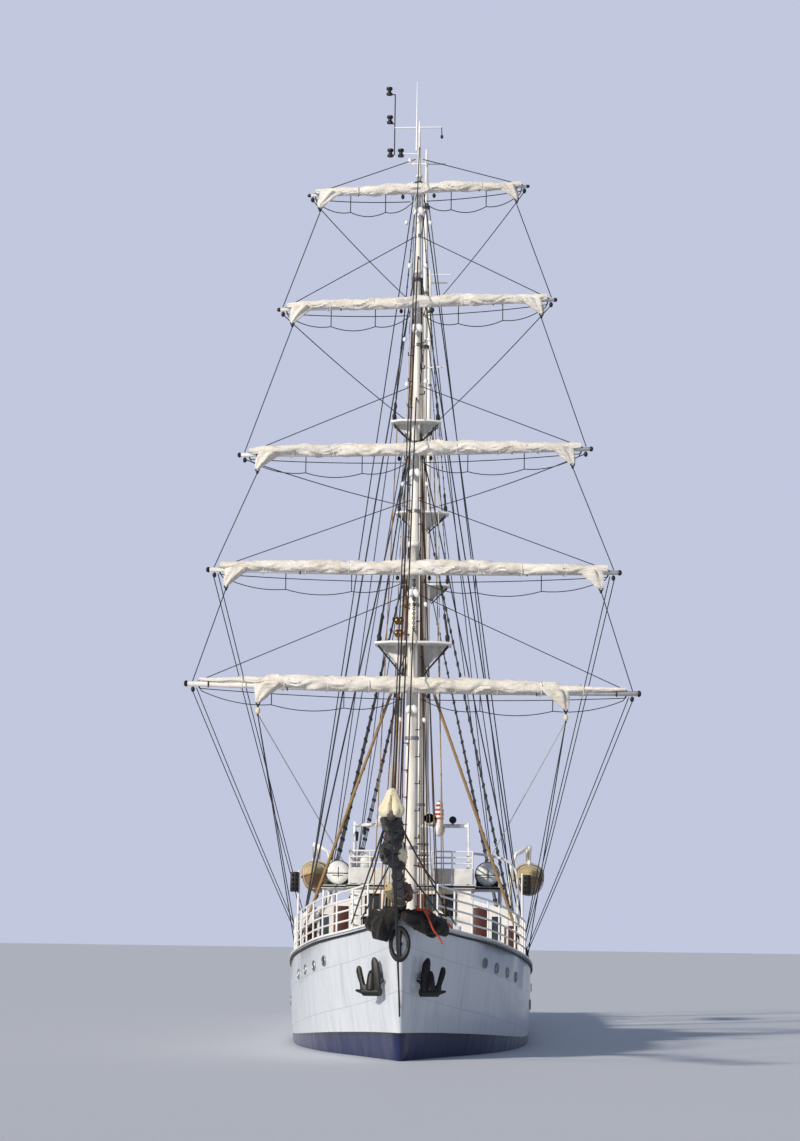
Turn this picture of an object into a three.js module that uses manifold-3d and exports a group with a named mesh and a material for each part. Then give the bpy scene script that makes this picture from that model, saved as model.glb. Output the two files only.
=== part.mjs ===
// A three-masted barquentine with furled sails, as a 1:2 scale model.
//
// Every size below is in metres of the full-size ship. The outermost group scales the whole
// ship to the model's millimetres. +X is to port, +Y is aft, +Z is up, and the origin lies on
// the waterline, on the centreline, halfway along the deck.

import * as THREE from 'three';
import { mergeVertices } from 'three/addons/utils/BufferGeometryUtils.js';
import Module from 'manifold-3d';

const wasm = await Module();
wasm.setup();

// Scale and clearances
const SCALE = 1 / 2;
const MM_PER_METRE = 1000 * SCALE;
const SEAT_GAP = 0.35 / MM_PER_METRE;
const RUN_GAP = 6 / MM_PER_METRE;

// Hull
const DECK_LENGTH = 44;
const SHEER_LOW = 2.1;
const SHEER_BOW_RISE = 1.75;
const SHEER_STERN_RISE = 1.0;
const FORECASTLE_END = 12.2;
const MAIN_DECK_DROP = 0.9;
const BULWARK_THICKNESS = 0.12;
const STEM_RAKE = 1.7;
const STEM_RAKE_LENGTH = 9;
const COUNTER_START = 40;
const COUNTER_RAKE = 0.9;
const KEEL_WIDTH = 0.34;
const KEEL_BOTTOM = -3.7;
const SOLE_TOP = -3.5;

// Hull sections, from the stem head aft
const SECTIONS = [
  // aft, half-breadth at the deck edge, height of the bottom, power of the curve
  [0.0, 0.08, -0.7, 1.6],
  [1.6, 0.64, -2.1, 1.8],
  [3.7, 1.5, -2.8, 2.0],
  [5.9, 2.46, -3.05, 2.2],
  [8.2, 3.06, -3.15, 2.5],
  [10.6, 3.5, -3.2, 2.8],
  [14.0, 3.82, -3.2, 3.0],
  [19.0, 3.9, -3.2, 3.2],
  [26.0, 3.9, -3.2, 3.2],
  [31.0, 3.8, -2.85, 2.7],
  [35.0, 3.6, -2.1, 2.2],
  [38.5, 3.32, -1.05, 2.0],
  [41.2, 2.92, 0.05, 1.9],
  [43.0, 2.4, 0.85, 2.0],
  [44.0, 1.9, 1.35, 2.0],
];
const RING_STEPS = 12;
const RINGS_A_SECTION = 2;

// Masts: how far aft each stands, and its height-radius rows
const FOREMAST_AT = 11.2;
const MAINMAST_AT = 23.5;
const MIZZENMAST_AT = 34.5;
const FORE_TOP = 12.4;
const FORE_CAP = 15.5;
const CROSSTREES = 19.5;
const MAIN_TOP = 18.7;
const MIZZEN_TOP = 17.6;

const FOREMAST_ROWS = [
  // height, radius
  [2.4, 0.235], [8.3, 0.2], [FORE_TOP, 0.17], [FORE_CAP, 0.15], [CROSSTREES, 0.125],
  [24.4, 0.095], [27.6, 0.073], [28.3, 0.05], [29.2, 0.03],
];
const MAINMAST_ROWS = [
  // height, radius
  [1.0, 0.24], [10, 0.21], [MAIN_TOP, 0.17], [25, 0.12], [30.6, 0.08], [32.6, 0.05],
];
const MIZZENMAST_ROWS = [
  // height, radius
  [1.0, 0.21], [9, 0.19], [MIZZEN_TOP, 0.15], [24, 0.11], [29.4, 0.07], [31.0, 0.045],
];

// Lower shrouds
const SHROUDS = [
  // name, mast, its rows, then hounds height, first foot's distance aft, count and spacing
  ['fore_shrouds', FOREMAST_AT, FOREMAST_ROWS, [12.05, 12.45, 4, 0.7]],
  ['main_shrouds', MAINMAST_AT, MAINMAST_ROWS, [18.2, 24.2, 4, 0.85]],
  ['mizzen_shrouds', MIZZENMAST_AT, MIZZENMAST_ROWS, [17.1, 35.6, 3, 0.8]],
];

// Backstays of each set of shrouds: height of their band on the mast, and how far aft they land
const BACKSTAYS = {
  fore_shrouds: [[18.85, [15.3, 15.7]], [24.2, [16.3, 16.6]], [27.4, [17.2]]],
  main_shrouds: [[25.0, [27.6]], [30.35, [28.3]]],
  mizzen_shrouds: [[24.0, [38.0]], [29.2, [38.6]]],
};
const WIRE = 0.03;
const CHANNEL_LAP = 0.2;
const BAND_HALF = 0.05;
const BAND_THICKNESS = 0.07;
const BAND_JOINT = 0.05;
const BAND_SPREAD = 0.09;

// Yards, from the lowest up
const YARDS = [
  // name, height, length, middle radius, canting slope to port, thickness of the furled sail
  ['course', 10.94, 14.1, 0.14, -0.012, 0.24],
  ['lower_topsail', 14.63, 12.9, 0.125, 0.002, 0.22],
  ['upper_topsail', 18.43, 11.1, 0.115, 0.026, 0.2],
  ['topgallant', 23.2, 8.8, 0.095, 0.044, 0.18],
  ['royal', 26.95, 7.0, 0.08, 0.05, 0.15],
];
const TRUSS_PIVOT = 0.4;
const TRUSS_ARM = 0.26;
const TRUSS_HALF_HEIGHT = 0.08;
const TRUSS_PIN = 0.045;
const PIN_BORE = 0.0485;

// Booms: name, how far aft their mast stands, height, length
const BOOMS = [
  ['main', MAINMAST_AT, 4.1, 7.3],
  ['mizzen', MIZZENMAST_AT, 4.3, 7.4],
];
const BOOM_PIVOT = 0.42;

// Bowsprit
const BOWSPRIT_HEEL = [1.8, 3.75];
const BOWSPRIT_TIP = [-9.0, 6.05];
const BOWSPRIT_RADIUS = 0.16;

// Deckhouse with the wheelhouse in its forward end
const HOUSE_FRONT = 12.6;
const HOUSE_AFT = 20.4;
const HOUSE_HALF = 1.9;
const WALL = 0.1;
const ROOF_UNDER = 4.84;
const ROOF_TOP = 4.94;
const WING_HALF = 2.95;
const WINDOW_SILL = 3.99;
const WINDOW_HEAD = 4.64;
const DOOR = { aft: 17.0, width: 0.75, sill: 1.85, head: 3.65, thick: 0.06, hinge: 0.047 };

// Small parts
const RAFT = { across: 2.43, aft: 15.4, height: 5.36, radius: 0.385, length: 1.3 };
const BOAT = { across: 4.22, aft: 33.1, keel: 5.05, length: 4.3 };
const PROPELLER = { aft: 38.1, height: -2.3, radius: 0.85 };
const RUDDER_STOCK = 39.55;
const HELM = { aft: 37.6, height: 2.75, radius: 0.66 };
const TRUNK = { half: 1.15, forward: 30.2, after: 33.2, height: 2.55 };
const HATCH = { aft: 28.0, half: 0.55, length: 1.2, height: 1.78, lid: 0.07 };

// Colours
const COLOURS = {
  hull: [0xe9edf2, 0.45, 0],
  paint: [0xf3f4f2, 0.45, 0],
  mast: [0xf2efe6, 0.5, 0],
  sail: [0xe9e3d2, 0.95, 0],
  cover: [0xcdb78a, 0.95, 0],
  dark: [0x23262a, 0.6, 0.2],
  wire: [0x3a3d40, 0.6, 0.4],
  maroon: [0x5a2a24, 0.5, 0],
  wood: [0x7a4a2a, 0.6, 0],
  bronze: [0xa07a3c, 0.35, 0.9],
};

const vector = (x, y, z) => new THREE.Vector3(x, y, z);
const yOf = (aft) => aft - DECK_LENGTH / 2;
const place = (x, aft, z) => vector(x, yOf(aft), z);
const mirrored = { port: 1, starboard: -1 };

/** Six times the signed volume of an indexed closed mesh. */
function signedVolume(positions, index) {
  const corners = [vector(), vector(), vector()];
  let total = 0;
  for (let i = 0; i < index.length; i += 3) {
    corners.forEach((corner, k) => corner.fromArray(positions, 3 * index[i + k]));
    total += corners[0].dot(corners[1].clone().cross(corners[2]));
  }
  return total;
}

/** A closed three.js geometry as a solid that can be joined and cut. */
function solidOf(geometry) {
  const bare = geometry.clone();
  bare.deleteAttribute('normal');
  bare.deleteAttribute('uv');
  const merged = mergeVertices(bare, 1e-5);
  const positions = Array.from(merged.attributes.position.array);
  const index = [];
  for (let i = 0; i < merged.index.count; i += 3) {
    const [a, b, c] = merged.index.array.slice(i, i + 3);
    if (a !== b && b !== c && c !== a) {
      index.push(a, b, c);
    }
  }
  if (signedVolume(positions, index) < 0) {
    index.reverse();
  }
  return new wasm.Manifold(new wasm.Mesh({
    numProp: 3,
    vertProperties: Float32Array.from(positions),
    triVerts: Uint32Array.from(index),
  }));
}

/** A solid as a three.js geometry. */
function geometryOf(solid) {
  const mesh = solid.getMesh();
  const geometry = new THREE.BufferGeometry();
  geometry.setAttribute('position', new THREE.BufferAttribute(Float32Array.from(mesh.vertProperties), 3));
  geometry.setIndex(new THREE.BufferAttribute(Uint32Array.from(mesh.triVerts), 1));
  const flat = geometry.toNonIndexed();
  flat.computeVertexNormals();
  return flat;
}

const join = (...solids) => solids.flat().reduce((whole, solid) => whole.add(solid));
const mirrorX = (solid, side) => (side > 0 ? solid : solid.mirror([1, 0, 0]));

/** The largest connected piece of a solid. */
function largest(solid) {
  return solid.decompose().reduce((best, piece) => (piece.volume() > best.volume() ? piece : best));
}

/** A piece cut to rest on its neighbours with a hair's gap, which opens along a direction. */
function seat(piece, neighbours, direction) {
  const shift = vector(...direction).setLength(SEAT_GAP);
  const cut = neighbours.reduce(
    (rest, other) => rest.subtract(other).subtract(other.translate(shift.toArray())),
    piece,
  );
  return largest(cut);
}

/** A piece with its neighbours cut out of it, clear of them by a hair on every side. */
function fitRound(piece, neighbours) {
  const steps = [[1, 0, 0], [-1, 0, 0], [0, 1, 0], [0, -1, 0], [0, 0, 1], [0, 0, -1]];
  const cut = neighbours.reduce(
    (whole, other) => steps.reduce(
      (rest, step) => rest.subtract(other.translate(step.map((unit) => unit * SEAT_GAP))),
      whole.subtract(other),
    ),
    piece,
  );
  return largest(cut);
}

/** A box between two corners. */
function box([x0, aft0, z0], [x1, aft1, z1]) {
  const geometry = new THREE.BoxGeometry(Math.abs(x1 - x0), Math.abs(aft1 - aft0), Math.abs(z1 - z0));
  const centre = place(x0, aft0, z0).add(place(x1, aft1, z1)).multiplyScalar(0.5);
  return solidOf(geometry.translate(centre.x, centre.y, centre.z));
}

/** A round bar between two points, tapering from one radius to another. */
function bar(from, to, radius, endRadius = radius, sides = 8) {
  const along = to.clone().sub(from);
  const geometry = new THREE.CylinderGeometry(endRadius, radius, along.length(), sides);
  geometry.applyQuaternion(new THREE.Quaternion().setFromUnitVectors(vector(0, 1, 0), along.normalize()));
  const middle = from.clone().add(to).multiplyScalar(0.5);
  return solidOf(geometry.translate(middle.x, middle.y, middle.z));
}

/** A bent pipe through a list of points. */
function pipe(points, radius, steps, sides = 6) {
  const section = new THREE.Shape();
  for (let i = 0; i < sides; i += 1) {
    const turn = (2 * Math.PI * i) / sides;
    const corner = [radius * Math.cos(turn), radius * Math.sin(turn)];
    if (i === 0) {
      section.moveTo(...corner);
    } else {
      section.lineTo(...corner);
    }
  }
  section.closePath();
  const extrudePath = new THREE.CatmullRomCurve3(points, false, 'centripetal');
  return solidOf(new THREE.ExtrudeGeometry(section, { steps, extrudePath }));
}

/** A turned shape: radius-height rows about the Z axis. */
function turned(rows, sides = 12) {
  const points = rows.map(([radius, height]) => new THREE.Vector2(radius, height));
  return solidOf(new THREE.LatheGeometry(points, sides).rotateX(Math.PI / 2));
}

/** A flat outline, given by x and distance aft, between two heights. */
function plate(outline, bottom, top) {
  const shape = new THREE.Shape(outline.map(([x, aft]) => new THREE.Vector2(x, yOf(aft))));
  const geometry = new THREE.ExtrudeGeometry(shape, { depth: top - bottom, bevelEnabled: false });
  return solidOf(geometry.translate(0, 0, bottom));
}

/** A side view's outline, given by distance aft and height, between two widths. */
function profile(outline, left, right) {
  const shape = new THREE.Shape(outline.map(([aft, z]) => new THREE.Vector2(yOf(aft), z)));
  const geometry = new THREE.ExtrudeGeometry(shape, { depth: right - left, bevelEnabled: false });
  const axes = new THREE.Matrix4().makeBasis(vector(0, 1, 0), vector(0, 0, 1), vector(1, 0, 0));
  return solidOf(geometry.applyMatrix4(axes).translate(left, 0, 0));
}

/** A front view's outline, given by x and height, between two distances aft. */
function bulkhead(outline, forward, after) {
  const shape = new THREE.Shape(outline.map(([x, z]) => new THREE.Vector2(x, z)));
  const geometry = new THREE.ExtrudeGeometry(shape, { depth: after - forward, bevelEnabled: false });
  return solidOf(geometry.rotateX(Math.PI / 2).translate(0, yOf(after), 0));
}

/** A body through rings of points, closed by a fan at both ends. */
function loft(rings) {
  const count = rings[0].length;
  const points = rings.flat();
  const index = [];
  for (let r = 0; r + 1 < rings.length; r += 1) {
    for (let i = 0; i < count; i += 1) {
      const here = r * count + i;
      const next = r * count + ((i + 1) % count);
      index.push(here, next, here + count, next, next + count, here + count);
    }
  }
  [0, rings.length - 1].forEach((r) => {
    const centre = rings[r].reduce((sum, point) => sum.add(point), vector()).divideScalar(count);
    const hub = points.push(centre) - 1;
    for (let i = 0; i < count; i += 1) {
      const edge = [r * count + i, r * count + ((i + 1) % count)];
      index.push(...(r === 0 ? [edge[1], edge[0]] : edge), hub);
    }
  });
  const geometry = new THREE.BufferGeometry().setFromPoints(points);
  geometry.setIndex(index);
  return solidOf(geometry);
}

/** Height of the deck edge at a distance aft of the stem head. */
function sheer(aft) {
  const middle = DECK_LENGTH / 2;
  const away = Math.abs(aft - middle) / middle;
  return aft < middle
    ? SHEER_LOW + SHEER_BOW_RISE * away ** 1.4
    : SHEER_LOW + SHEER_STERN_RISE * away ** 1.6;
}

const mainDeck = (aft) => sheer(aft) - MAIN_DECK_DROP;

/** A smooth section at a share of the way from one tabled section to the next. */
function sectionAt(after, share) {
  const rows = [-1, 0, 1, 2].map((step) => SECTIONS[Math.min(Math.max(after + step, 0), SECTIONS.length - 1)]);
  const gaps = [1, 2, 3].map((i) => Math.max(rows[i][0] - rows[i - 1][0], 0.01));
  const aft = rows[1][0] + gaps[1] * share;
  const values = [1, 2, 3].map((column) => {
    const slopes = gaps.map((gap, i) => (rows[i + 1][column] - rows[i][column]) / gap);
    const start = after === 0 ? slopes[1] : (slopes[0] * gaps[1] + slopes[1] * gaps[0]) / (gaps[0] + gaps[1]);
    const atEnd = after + 2 >= SECTIONS.length;
    const end = atEnd ? slopes[1] : (slopes[1] * gaps[2] + slopes[2] * gaps[1]) / (gaps[1] + gaps[2]);
    const bend = (start * (1 - share) - end * share + slopes[1] * (2 * share - 1)) * gaps[1];
    return rows[1][column] + (rows[2][column] - rows[1][column]) * share + bend * share * (1 - share);
  });
  return [aft, ...values];
}

/** The hull's rings of sections, closer than the tabled ones. */
const RINGS = SECTIONS.slice(1).flatMap((_, i) => Array.from(
  { length: RINGS_A_SECTION }, (__, k) => sectionAt(i, k / RINGS_A_SECTION),
)).concat([SECTIONS.at(-1)]);

/** Half-breadth of the deck edge at a distance aft of the stem head. */
function halfBreadth(aft) {
  const after = RINGS.findIndex((row) => row[0] >= aft);
  const [from, half] = RINGS[Math.max(after - 1, 0)];
  const [to, nextHalf] = RINGS[after];
  return to > from ? half + ((nextHalf - half) * (aft - from)) / (to - from) : half;
}

/** The hull's body up to the deck edge, drawn in by a thickness. */
function hullBody(inset) {
  const rings = RINGS.map(([aft, fullHalf, bottom, power]) => {
    const half = Math.max(fullHalf - inset, 0.02);
    const top = sheer(aft);
    const rake = STEM_RAKE * Math.max(0, 1 - aft / STEM_RAKE_LENGTH)
      - COUNTER_RAKE * Math.max(0, (aft - COUNTER_START) / (DECK_LENGTH - COUNTER_START));
    const shift = aft > COUNTER_START ? -inset : 0;
    const sidePoint = (i, side) => {
      const turn = (Math.PI / 2) * (i / RING_STEPS);
      const across = half * Math.cos(turn) ** (2 / power);
      const down = Math.sin(turn) ** (2 / power);
      return place(side * across, aft + rake * down + shift, top - (top - bottom) * down);
    };
    const port = Array.from({ length: RING_STEPS }, (_, i) => sidePoint(i, 1));
    const starboard = Array.from({ length: RING_STEPS }, (_, i) => sidePoint(i, -1)).reverse();
    const keel = place(0, aft + rake + shift, bottom);
    return [...port, keel, ...starboard];
  });
  return loft(rings);
}

/** Everything above the main deck, from the break of the forecastle aft. */
function aboveMainDeck(lift) {
  const steps = 12;
  const line = Array.from({ length: steps + 1 }, (_, i) => {
    const aft = FORECASTLE_END + ((DECK_LENGTH + 1 - FORECASTLE_END) * i) / steps;
    return [aft, mainDeck(aft) + lift];
  });
  const outline = [...line, [DECK_LENGTH + 1, 6], [FORECASTLE_END, 6]];
  return profile(outline, -5, 5);
}

/** The keel fin, the deadwood and the sole piece under the propeller and rudder. */
function keel() {
  const outline = [
    [4.6, -2.2], [7.2, KEEL_BOTTOM], [40.1, KEEL_BOTTOM], [40.1, SOLE_TOP],
    [38.3, SOLE_TOP], [37.6, -3.1], [37.6, -1.0], [30, -1.0],
  ];
  return profile(outline, -KEEL_WIDTH / 2, KEEL_WIDTH / 2);
}

/** A pair of mooring bitts on a deck. */
function bitts(x, aft, deck) {
  const posts = [-0.28, 0.28].map((step) => bar(
    place(x, aft + step, deck - 0.1), place(x, aft + step, deck + 0.5), 0.13, 0.13, 6,
  ));
  return join(box([x - 0.2, aft - 0.5, deck - 0.1], [x + 0.2, aft + 0.5, deck + 0.06]), posts);
}

/** The hull with its keel, after cabin trunk, deck fittings and shaft boss. */
function hull(body) {
  const sternBoss = bar(
    place(0, 36.9, PROPELLER.height), place(0, PROPELLER.aft - 0.25, PROPELLER.height), 0.3, 0.2, 16,
  );
  const sole = bar(place(0, RUDDER_STOCK, SOLE_TOP - 0.1), place(0, RUDDER_STOCK, SOLE_TOP + 0.03), 0.12, 0.12, 12);
  const helmStand = box([-0.25, HELM.aft - 0.75, 1.3], [0.25, HELM.aft - 0.25, HELM.height + 0.22]);
  const helmBoss = bar(
    place(0, HELM.aft - 0.3, HELM.height), place(0, HELM.aft - 0.1, HELM.height), 0.07, 0.07, 12,
  );
  const coaming = box(
    [-HATCH.half, HATCH.aft, 1.0], [HATCH.half, HATCH.aft + HATCH.length, HATCH.height],
  );
  const hinges = [-0.35, 0.35].map((x) => bar(
    place(x - 0.1, HATCH.aft - 0.05, HATCH.height + HATCH.lid / 2),
    place(x, HATCH.aft - 0.05, HATCH.height + HATCH.lid / 2), 0.03, 0.03, 8,
  ));
  const hingeFeet = [-0.35, 0.35].map((x) => box(
    [x - 0.1, HATCH.aft - 0.07, HATCH.height - 0.1], [x, HATCH.aft + 0.02, HATCH.height + HATCH.lid / 2],
  ));
  const trunk = box([-TRUNK.half, TRUNK.forward, 1.0], [TRUNK.half, TRUNK.after, TRUNK.height]);
  const deckBitts = [1, -1].flatMap((side) => [
    bitts(side * 1.5, 6.9, sheer(6.9)),
    bitts(side * 2.9, 21.8, mainDeck(21.8)),
    bitts(side * 2.0, 40.4, mainDeck(40.4)),
  ]);
  const stockHole = bar(
    place(0, RUDDER_STOCK, -1.2), place(0, RUDDER_STOCK, 0.9), 0.1222, 0.1222, 24,
  );
  return join(
    body.subtract(aboveMainDeck(0)), keel(), sternBoss, sole, helmStand, helmBoss, coaming, trunk,
    hinges, hingeFeet, deckBitts,
  ).subtract(stockHole);
}

/** One side's bulwark, from the forecastle to the stern. */
function bulwark(body, side) {
  const ring = body.intersect(aboveMainDeck(SEAT_GAP)).subtract(
    hullBody(BULWARK_THICKNESS).translate([0, 0, 0.05]).add(hullBody(BULWARK_THICKNESS)),
  );
  const half = ring.intersect(box([side * SEAT_GAP / 2, 0, -2], [side * 6, 46, 8]));
  const clearOfBreak = box([-6, FORECASTLE_END + SEAT_GAP, -2], [6, 46, 8]);
  return largest(half.intersect(clearOfBreak));
}

/** Square posts on a row of feet, with level pipes between them at heights over the feet. */
function railing(feet, heights, sink) {
  const half = 0.036;
  const lifted = (foot, rise) => foot.clone().add(vector(0, 0, rise));
  const top = heights.at(-1) + half;
  const posts = feet.map((foot) => {
    const geometry = new THREE.BoxGeometry(2 * half, 2 * half, top + sink);
    return solidOf(geometry.translate(foot.x, foot.y, foot.z + (top - sink) / 2));
  });
  const pipes = heights.flatMap((rise) => feet.slice(1).map(
    (to, i) => bar(lifted(feet[i], rise), lifted(to, rise), 0.027, 0.027, 4),
  ));
  return join(posts, pipes);
}

/** Pipe rails along one side of the forecastle, with a post at each hull section. */
function forecastleRail(side) {
  const inboard = 0.08;
  const stations = [3.7, 5.9, 8.2, 10.6, 12.0];
  const feet = stations.map((aft) => place(side * (halfBreadth(aft) - inboard), aft, sheer(aft)));
  return railing(feet, [0.32, 0.6, 0.88, 1.15], 0.1);
}

const onBowsprit = (share, lift = 0) => place(
  0,
  BOWSPRIT_HEEL[0] + (BOWSPRIT_TIP[0] - BOWSPRIT_HEEL[0]) * share,
  BOWSPRIT_HEEL[1] + (BOWSPRIT_TIP[1] - BOWSPRIT_HEEL[1]) * share + lift,
);

/** The bowsprit, which lies over the stem head, grown by a thickness to cut a seat for its sails. */
function bowsprit(grow = 0) {
  const radius = BOWSPRIT_RADIUS + grow;
  return bar(onBowsprit(0), onBowsprit(1), radius, radius * 0.65, 10);
}

/** The furled headsails, laid along the outer half of the bowsprit. */
function furledHeadsails() {
  const rolls = [
    // from, to, across, lift, thick, thin
    [0.52, 0.98, -0.16, 0.2, 0.2, 0.16],
    [0.5, 0.9, 0.17, 0.16, 0.17, 0.13],
    [0.8, 1.0, 0.0, 0.3, 0.24, 0.2],
  ];
  const bodies = rolls.map(([from, to, across, lift, thick, thin]) => bar(
    onBowsprit(from, lift).setX(across), onBowsprit(to, lift).setX(across * 0.5), thick, thin, 8,
  ));
  const head = bar(onBowsprit(0.99, 0.2), onBowsprit(0.965, 0.75), 0.24, 0.05, 8);
  return join(bodies, head);
}

/** A stockless anchor housed on one bow, flukes up. */
function anchor(side) {
  const crown = new THREE.BoxGeometry(0.8, 0.26, 0.24);
  const shank = new THREE.BoxGeometry(0.14, 0.5, 0.9).translate(0, 0.2, 0.35);
  const flukes = [-0.3, 0.3].map((x) => new THREE.CylinderGeometry(0.05, 0.17, 0.85, 4)
    .rotateX(Math.PI / 2).translate(x, -0.02, 0.48));
  const turn = new THREE.Matrix4().makeRotationZ(side * 0.85);
  const tip = new THREE.Matrix4().makeRotationX(-0.2);
  const spot = new THREE.Matrix4().setPosition(place(side * 1.0, 2.35, 1.95));
  const matrix = spot.multiply(turn).multiply(tip);
  return join([crown, shank, ...flukes].map((geometry) => solidOf(geometry.applyMatrix4(matrix))));
}

/** The windlass on the forecastle. */
function windlass() {
  const deck = sheer(5.2);
  return join(
    box([-0.75, 4.8, deck - 0.2], [0.75, 5.6, deck + 0.18]),
    bar(place(-0.95, 5.2, deck + 0.45), place(0.95, 5.2, deck + 0.45), 0.2, 0.2, 8),
    [-0.45, 0.45].map((x) => bar(
      place(x - 0.1, 5.2, deck + 0.45), place(x + 0.1, 5.2, deck + 0.45), 0.36, 0.36, 10,
    )),
    [-1, 1].map((x) => bar(
      place(x * 0.95, 5.2, deck + 0.45), place(x * 1.2, 5.2, deck + 0.45), 0.26, 0.18, 8,
    )),
    box([-0.22, 4.9, deck + 0.1], [0.22, 5.5, deck + 0.75]),
  );
}

/** A row of window openings through a cross wall. */
function crossWindows(centres, width, sill, head, forward, after) {
  return centres.map((x) => box([x - width / 2, forward, sill], [x + width / 2, after, head]));
}

/** The deckhouse's front wall, with the wheelhouse windows. */
function houseFront() {
  const wall = box([-HOUSE_HALF, HOUSE_FRONT, 1.0], [HOUSE_HALF, HOUSE_FRONT + WALL, ROOF_UNDER - SEAT_GAP]);
  const centres = [-1.2, -0.6, 0, 0.6, 1.2];
  const openings = crossWindows(
    centres, 0.46, WINDOW_SILL, WINDOW_HEAD, HOUSE_FRONT - 1, HOUSE_FRONT + 1,
  );
  return wall.subtract(join(openings));
}

/** The deckhouse's after wall. */
function houseAft() {
  const wall = box([-HOUSE_HALF, HOUSE_AFT - WALL, 1.0], [HOUSE_HALF, HOUSE_AFT, ROOF_UNDER - SEAT_GAP]);
  return wall.subtract(join(crossWindows([-1.0, 0, 1.0], 0.6, 3.6, 4.3, HOUSE_AFT - 1, HOUSE_AFT + 1)));
}

/** One side wall of the deckhouse, with its windows, its doorway and its lower hinge barrel. */
function houseSide(side) {
  const wall = box(
    [HOUSE_HALF - WALL, HOUSE_FRONT + WALL + SEAT_GAP, 1.0],
    [HOUSE_HALF, HOUSE_AFT - WALL - SEAT_GAP, ROOF_UNDER - SEAT_GAP],
  );
  const windows = [
    // aft, width, sill, head
    [13.15, 0.6, WINDOW_SILL, WINDOW_HEAD],
    [13.95, 0.6, WINDOW_SILL, WINDOW_HEAD],
    [14.75, 0.6, WINDOW_SILL, WINDOW_HEAD],
    [18.3, 0.5, 2.6, 3.2],
    [19.2, 0.5, 2.6, 3.2],
    [14.6, 0.5, 2.6, 3.2],
    [15.6, 0.5, 2.6, 3.2],
  ].map(([aft, width, sill, head]) => box([1, aft, sill], [3, aft + width, head]));
  const doorway = box(
    [1, DOOR.aft - RUN_GAP, DOOR.sill - RUN_GAP],
    [3, DOOR.aft + DOOR.width + RUN_GAP, DOOR.head + RUN_GAP],
  );
  const barrels = doorBarrels([[0.35, 0.49], [1.35, 1.49]]);
  return mirrorX(join(wall.subtract(join(windows, doorway)), barrels), side);
}

/** Hinge barrels on the forward edge of the port doorway, between heights over the sill. */
function doorBarrels(spans) {
  const x = HOUSE_HALF + DOOR.hinge;
  const aft = DOOR.aft - RUN_GAP - 0.005;
  return spans.flatMap(([low, high]) => [
    bar(place(x, aft, DOOR.sill + low), place(x, aft, DOOR.sill + high), 0.035, 0.035, 10),
    box([HOUSE_HALF - 0.03, aft - 0.06, DOOR.sill + low], [x, aft, DOOR.sill + high]),
  ]);
}

/** A hinged side door, whose barrels stand on the wall's barrels. */
function houseDoor(side) {
  const x = HOUSE_HALF + DOOR.hinge;
  const aft = DOOR.aft - RUN_GAP - 0.005;
  const leaf = box(
    [HOUSE_HALF - DOOR.thick, DOOR.aft, DOOR.sill], [HOUSE_HALF, DOOR.aft + DOOR.width, DOOR.head],
  );
  const pane = box([1, DOOR.aft + 0.2, DOOR.sill + 1.15], [3, DOOR.aft + DOOR.width - 0.2, DOOR.sill + 1.6]);
  const spans = [[0.49 + SEAT_GAP, 0.63], [1.49 + SEAT_GAP, 1.63]];
  const barrels = spans.flatMap(([low, high]) => [
    bar(place(x, aft, DOOR.sill + low), place(x, aft, DOOR.sill + high), 0.035, 0.035, 10),
    box([HOUSE_HALF + RUN_GAP, aft, DOOR.sill + low], [x, DOOR.aft + 0.1, DOOR.sill + high]),
    box([HOUSE_HALF - 0.03, DOOR.aft + 0.02, DOOR.sill + low], [x, DOOR.aft + 0.1, DOOR.sill + high]),
  ]);
  return mirrorX(join(leaf.subtract(pane), barrels), side);
}

/** The roof of the deckhouse, with a wing to each side for the life rafts. */
function bridgeDeck() {
  const eave = HOUSE_HALF + 0.12;
  const outline = [
    [-eave, 12.45], [eave, 12.45], [eave, 14.0], [WING_HALF, 14.3], [WING_HALF, 17.6],
    [eave, 17.9], [eave, 20.6], [-eave, 20.6], [-eave, 17.9], [-WING_HALF, 17.6],
    [-WING_HALF, 14.3], [-eave, 14.0],
  ];
  const props = [1, -1].flatMap((side) => [14.5, 17.4].map((aft) => bar(
    place(side * (WING_HALF - 0.1), aft, 1.3), place(side * (WING_HALF - 0.1), aft, ROOF_UNDER + 0.02),
    0.05, 0.05, 6,
  )));
  return join(plate(outline, ROOF_UNDER, ROOF_TOP), props);
}

/** The screen between the deckhouse and the ship's side, under the bridge wing. */
function wingScreen(side) {
  const inner = HOUSE_HALF + SEAT_GAP;
  const outline = [[inner, 1.0], [3.45, 1.0], [3.45, 3.95], [3.2, 4.15], [inner, 4.5]];
  const screen = bulkhead(outline, HOUSE_FRONT, HOUSE_FRONT + 0.08);
  const window = box([2.56, HOUSE_FRONT - 1, 3.23], [2.86, HOUSE_FRONT + 1, 3.98]);
  return mirrorX(screen.subtract(window), side);
}

/** Rails and the weather cloth round the front of the bridge deck. */
function bridgeRail() {
  const corner = 1.94;
  const front = 12.52;
  const back = 16.6;
  const cloth = [5.21, 5.43];
  const corners = [[-corner, back], [-corner, front], [0, front], [corner, front], [corner, back]];
  const feet = corners.map(([x, aft]) => place(x, aft, ROOF_TOP));
  const cloths = corners.slice(1).map(([x, aft], i) => box(
    [Math.min(x, corners[i][0]) - 0.02, Math.min(aft, corners[i][1]) - 0.02, cloth[0]],
    [Math.max(x, corners[i][0]) + 0.02, Math.max(aft, corners[i][1]) + 0.02, cloth[1]],
  ));
  return join(railing(feet, [5.62, 5.8, 5.99].map((z) => z - ROOF_TOP), 0.02), cloths);
}

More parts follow.
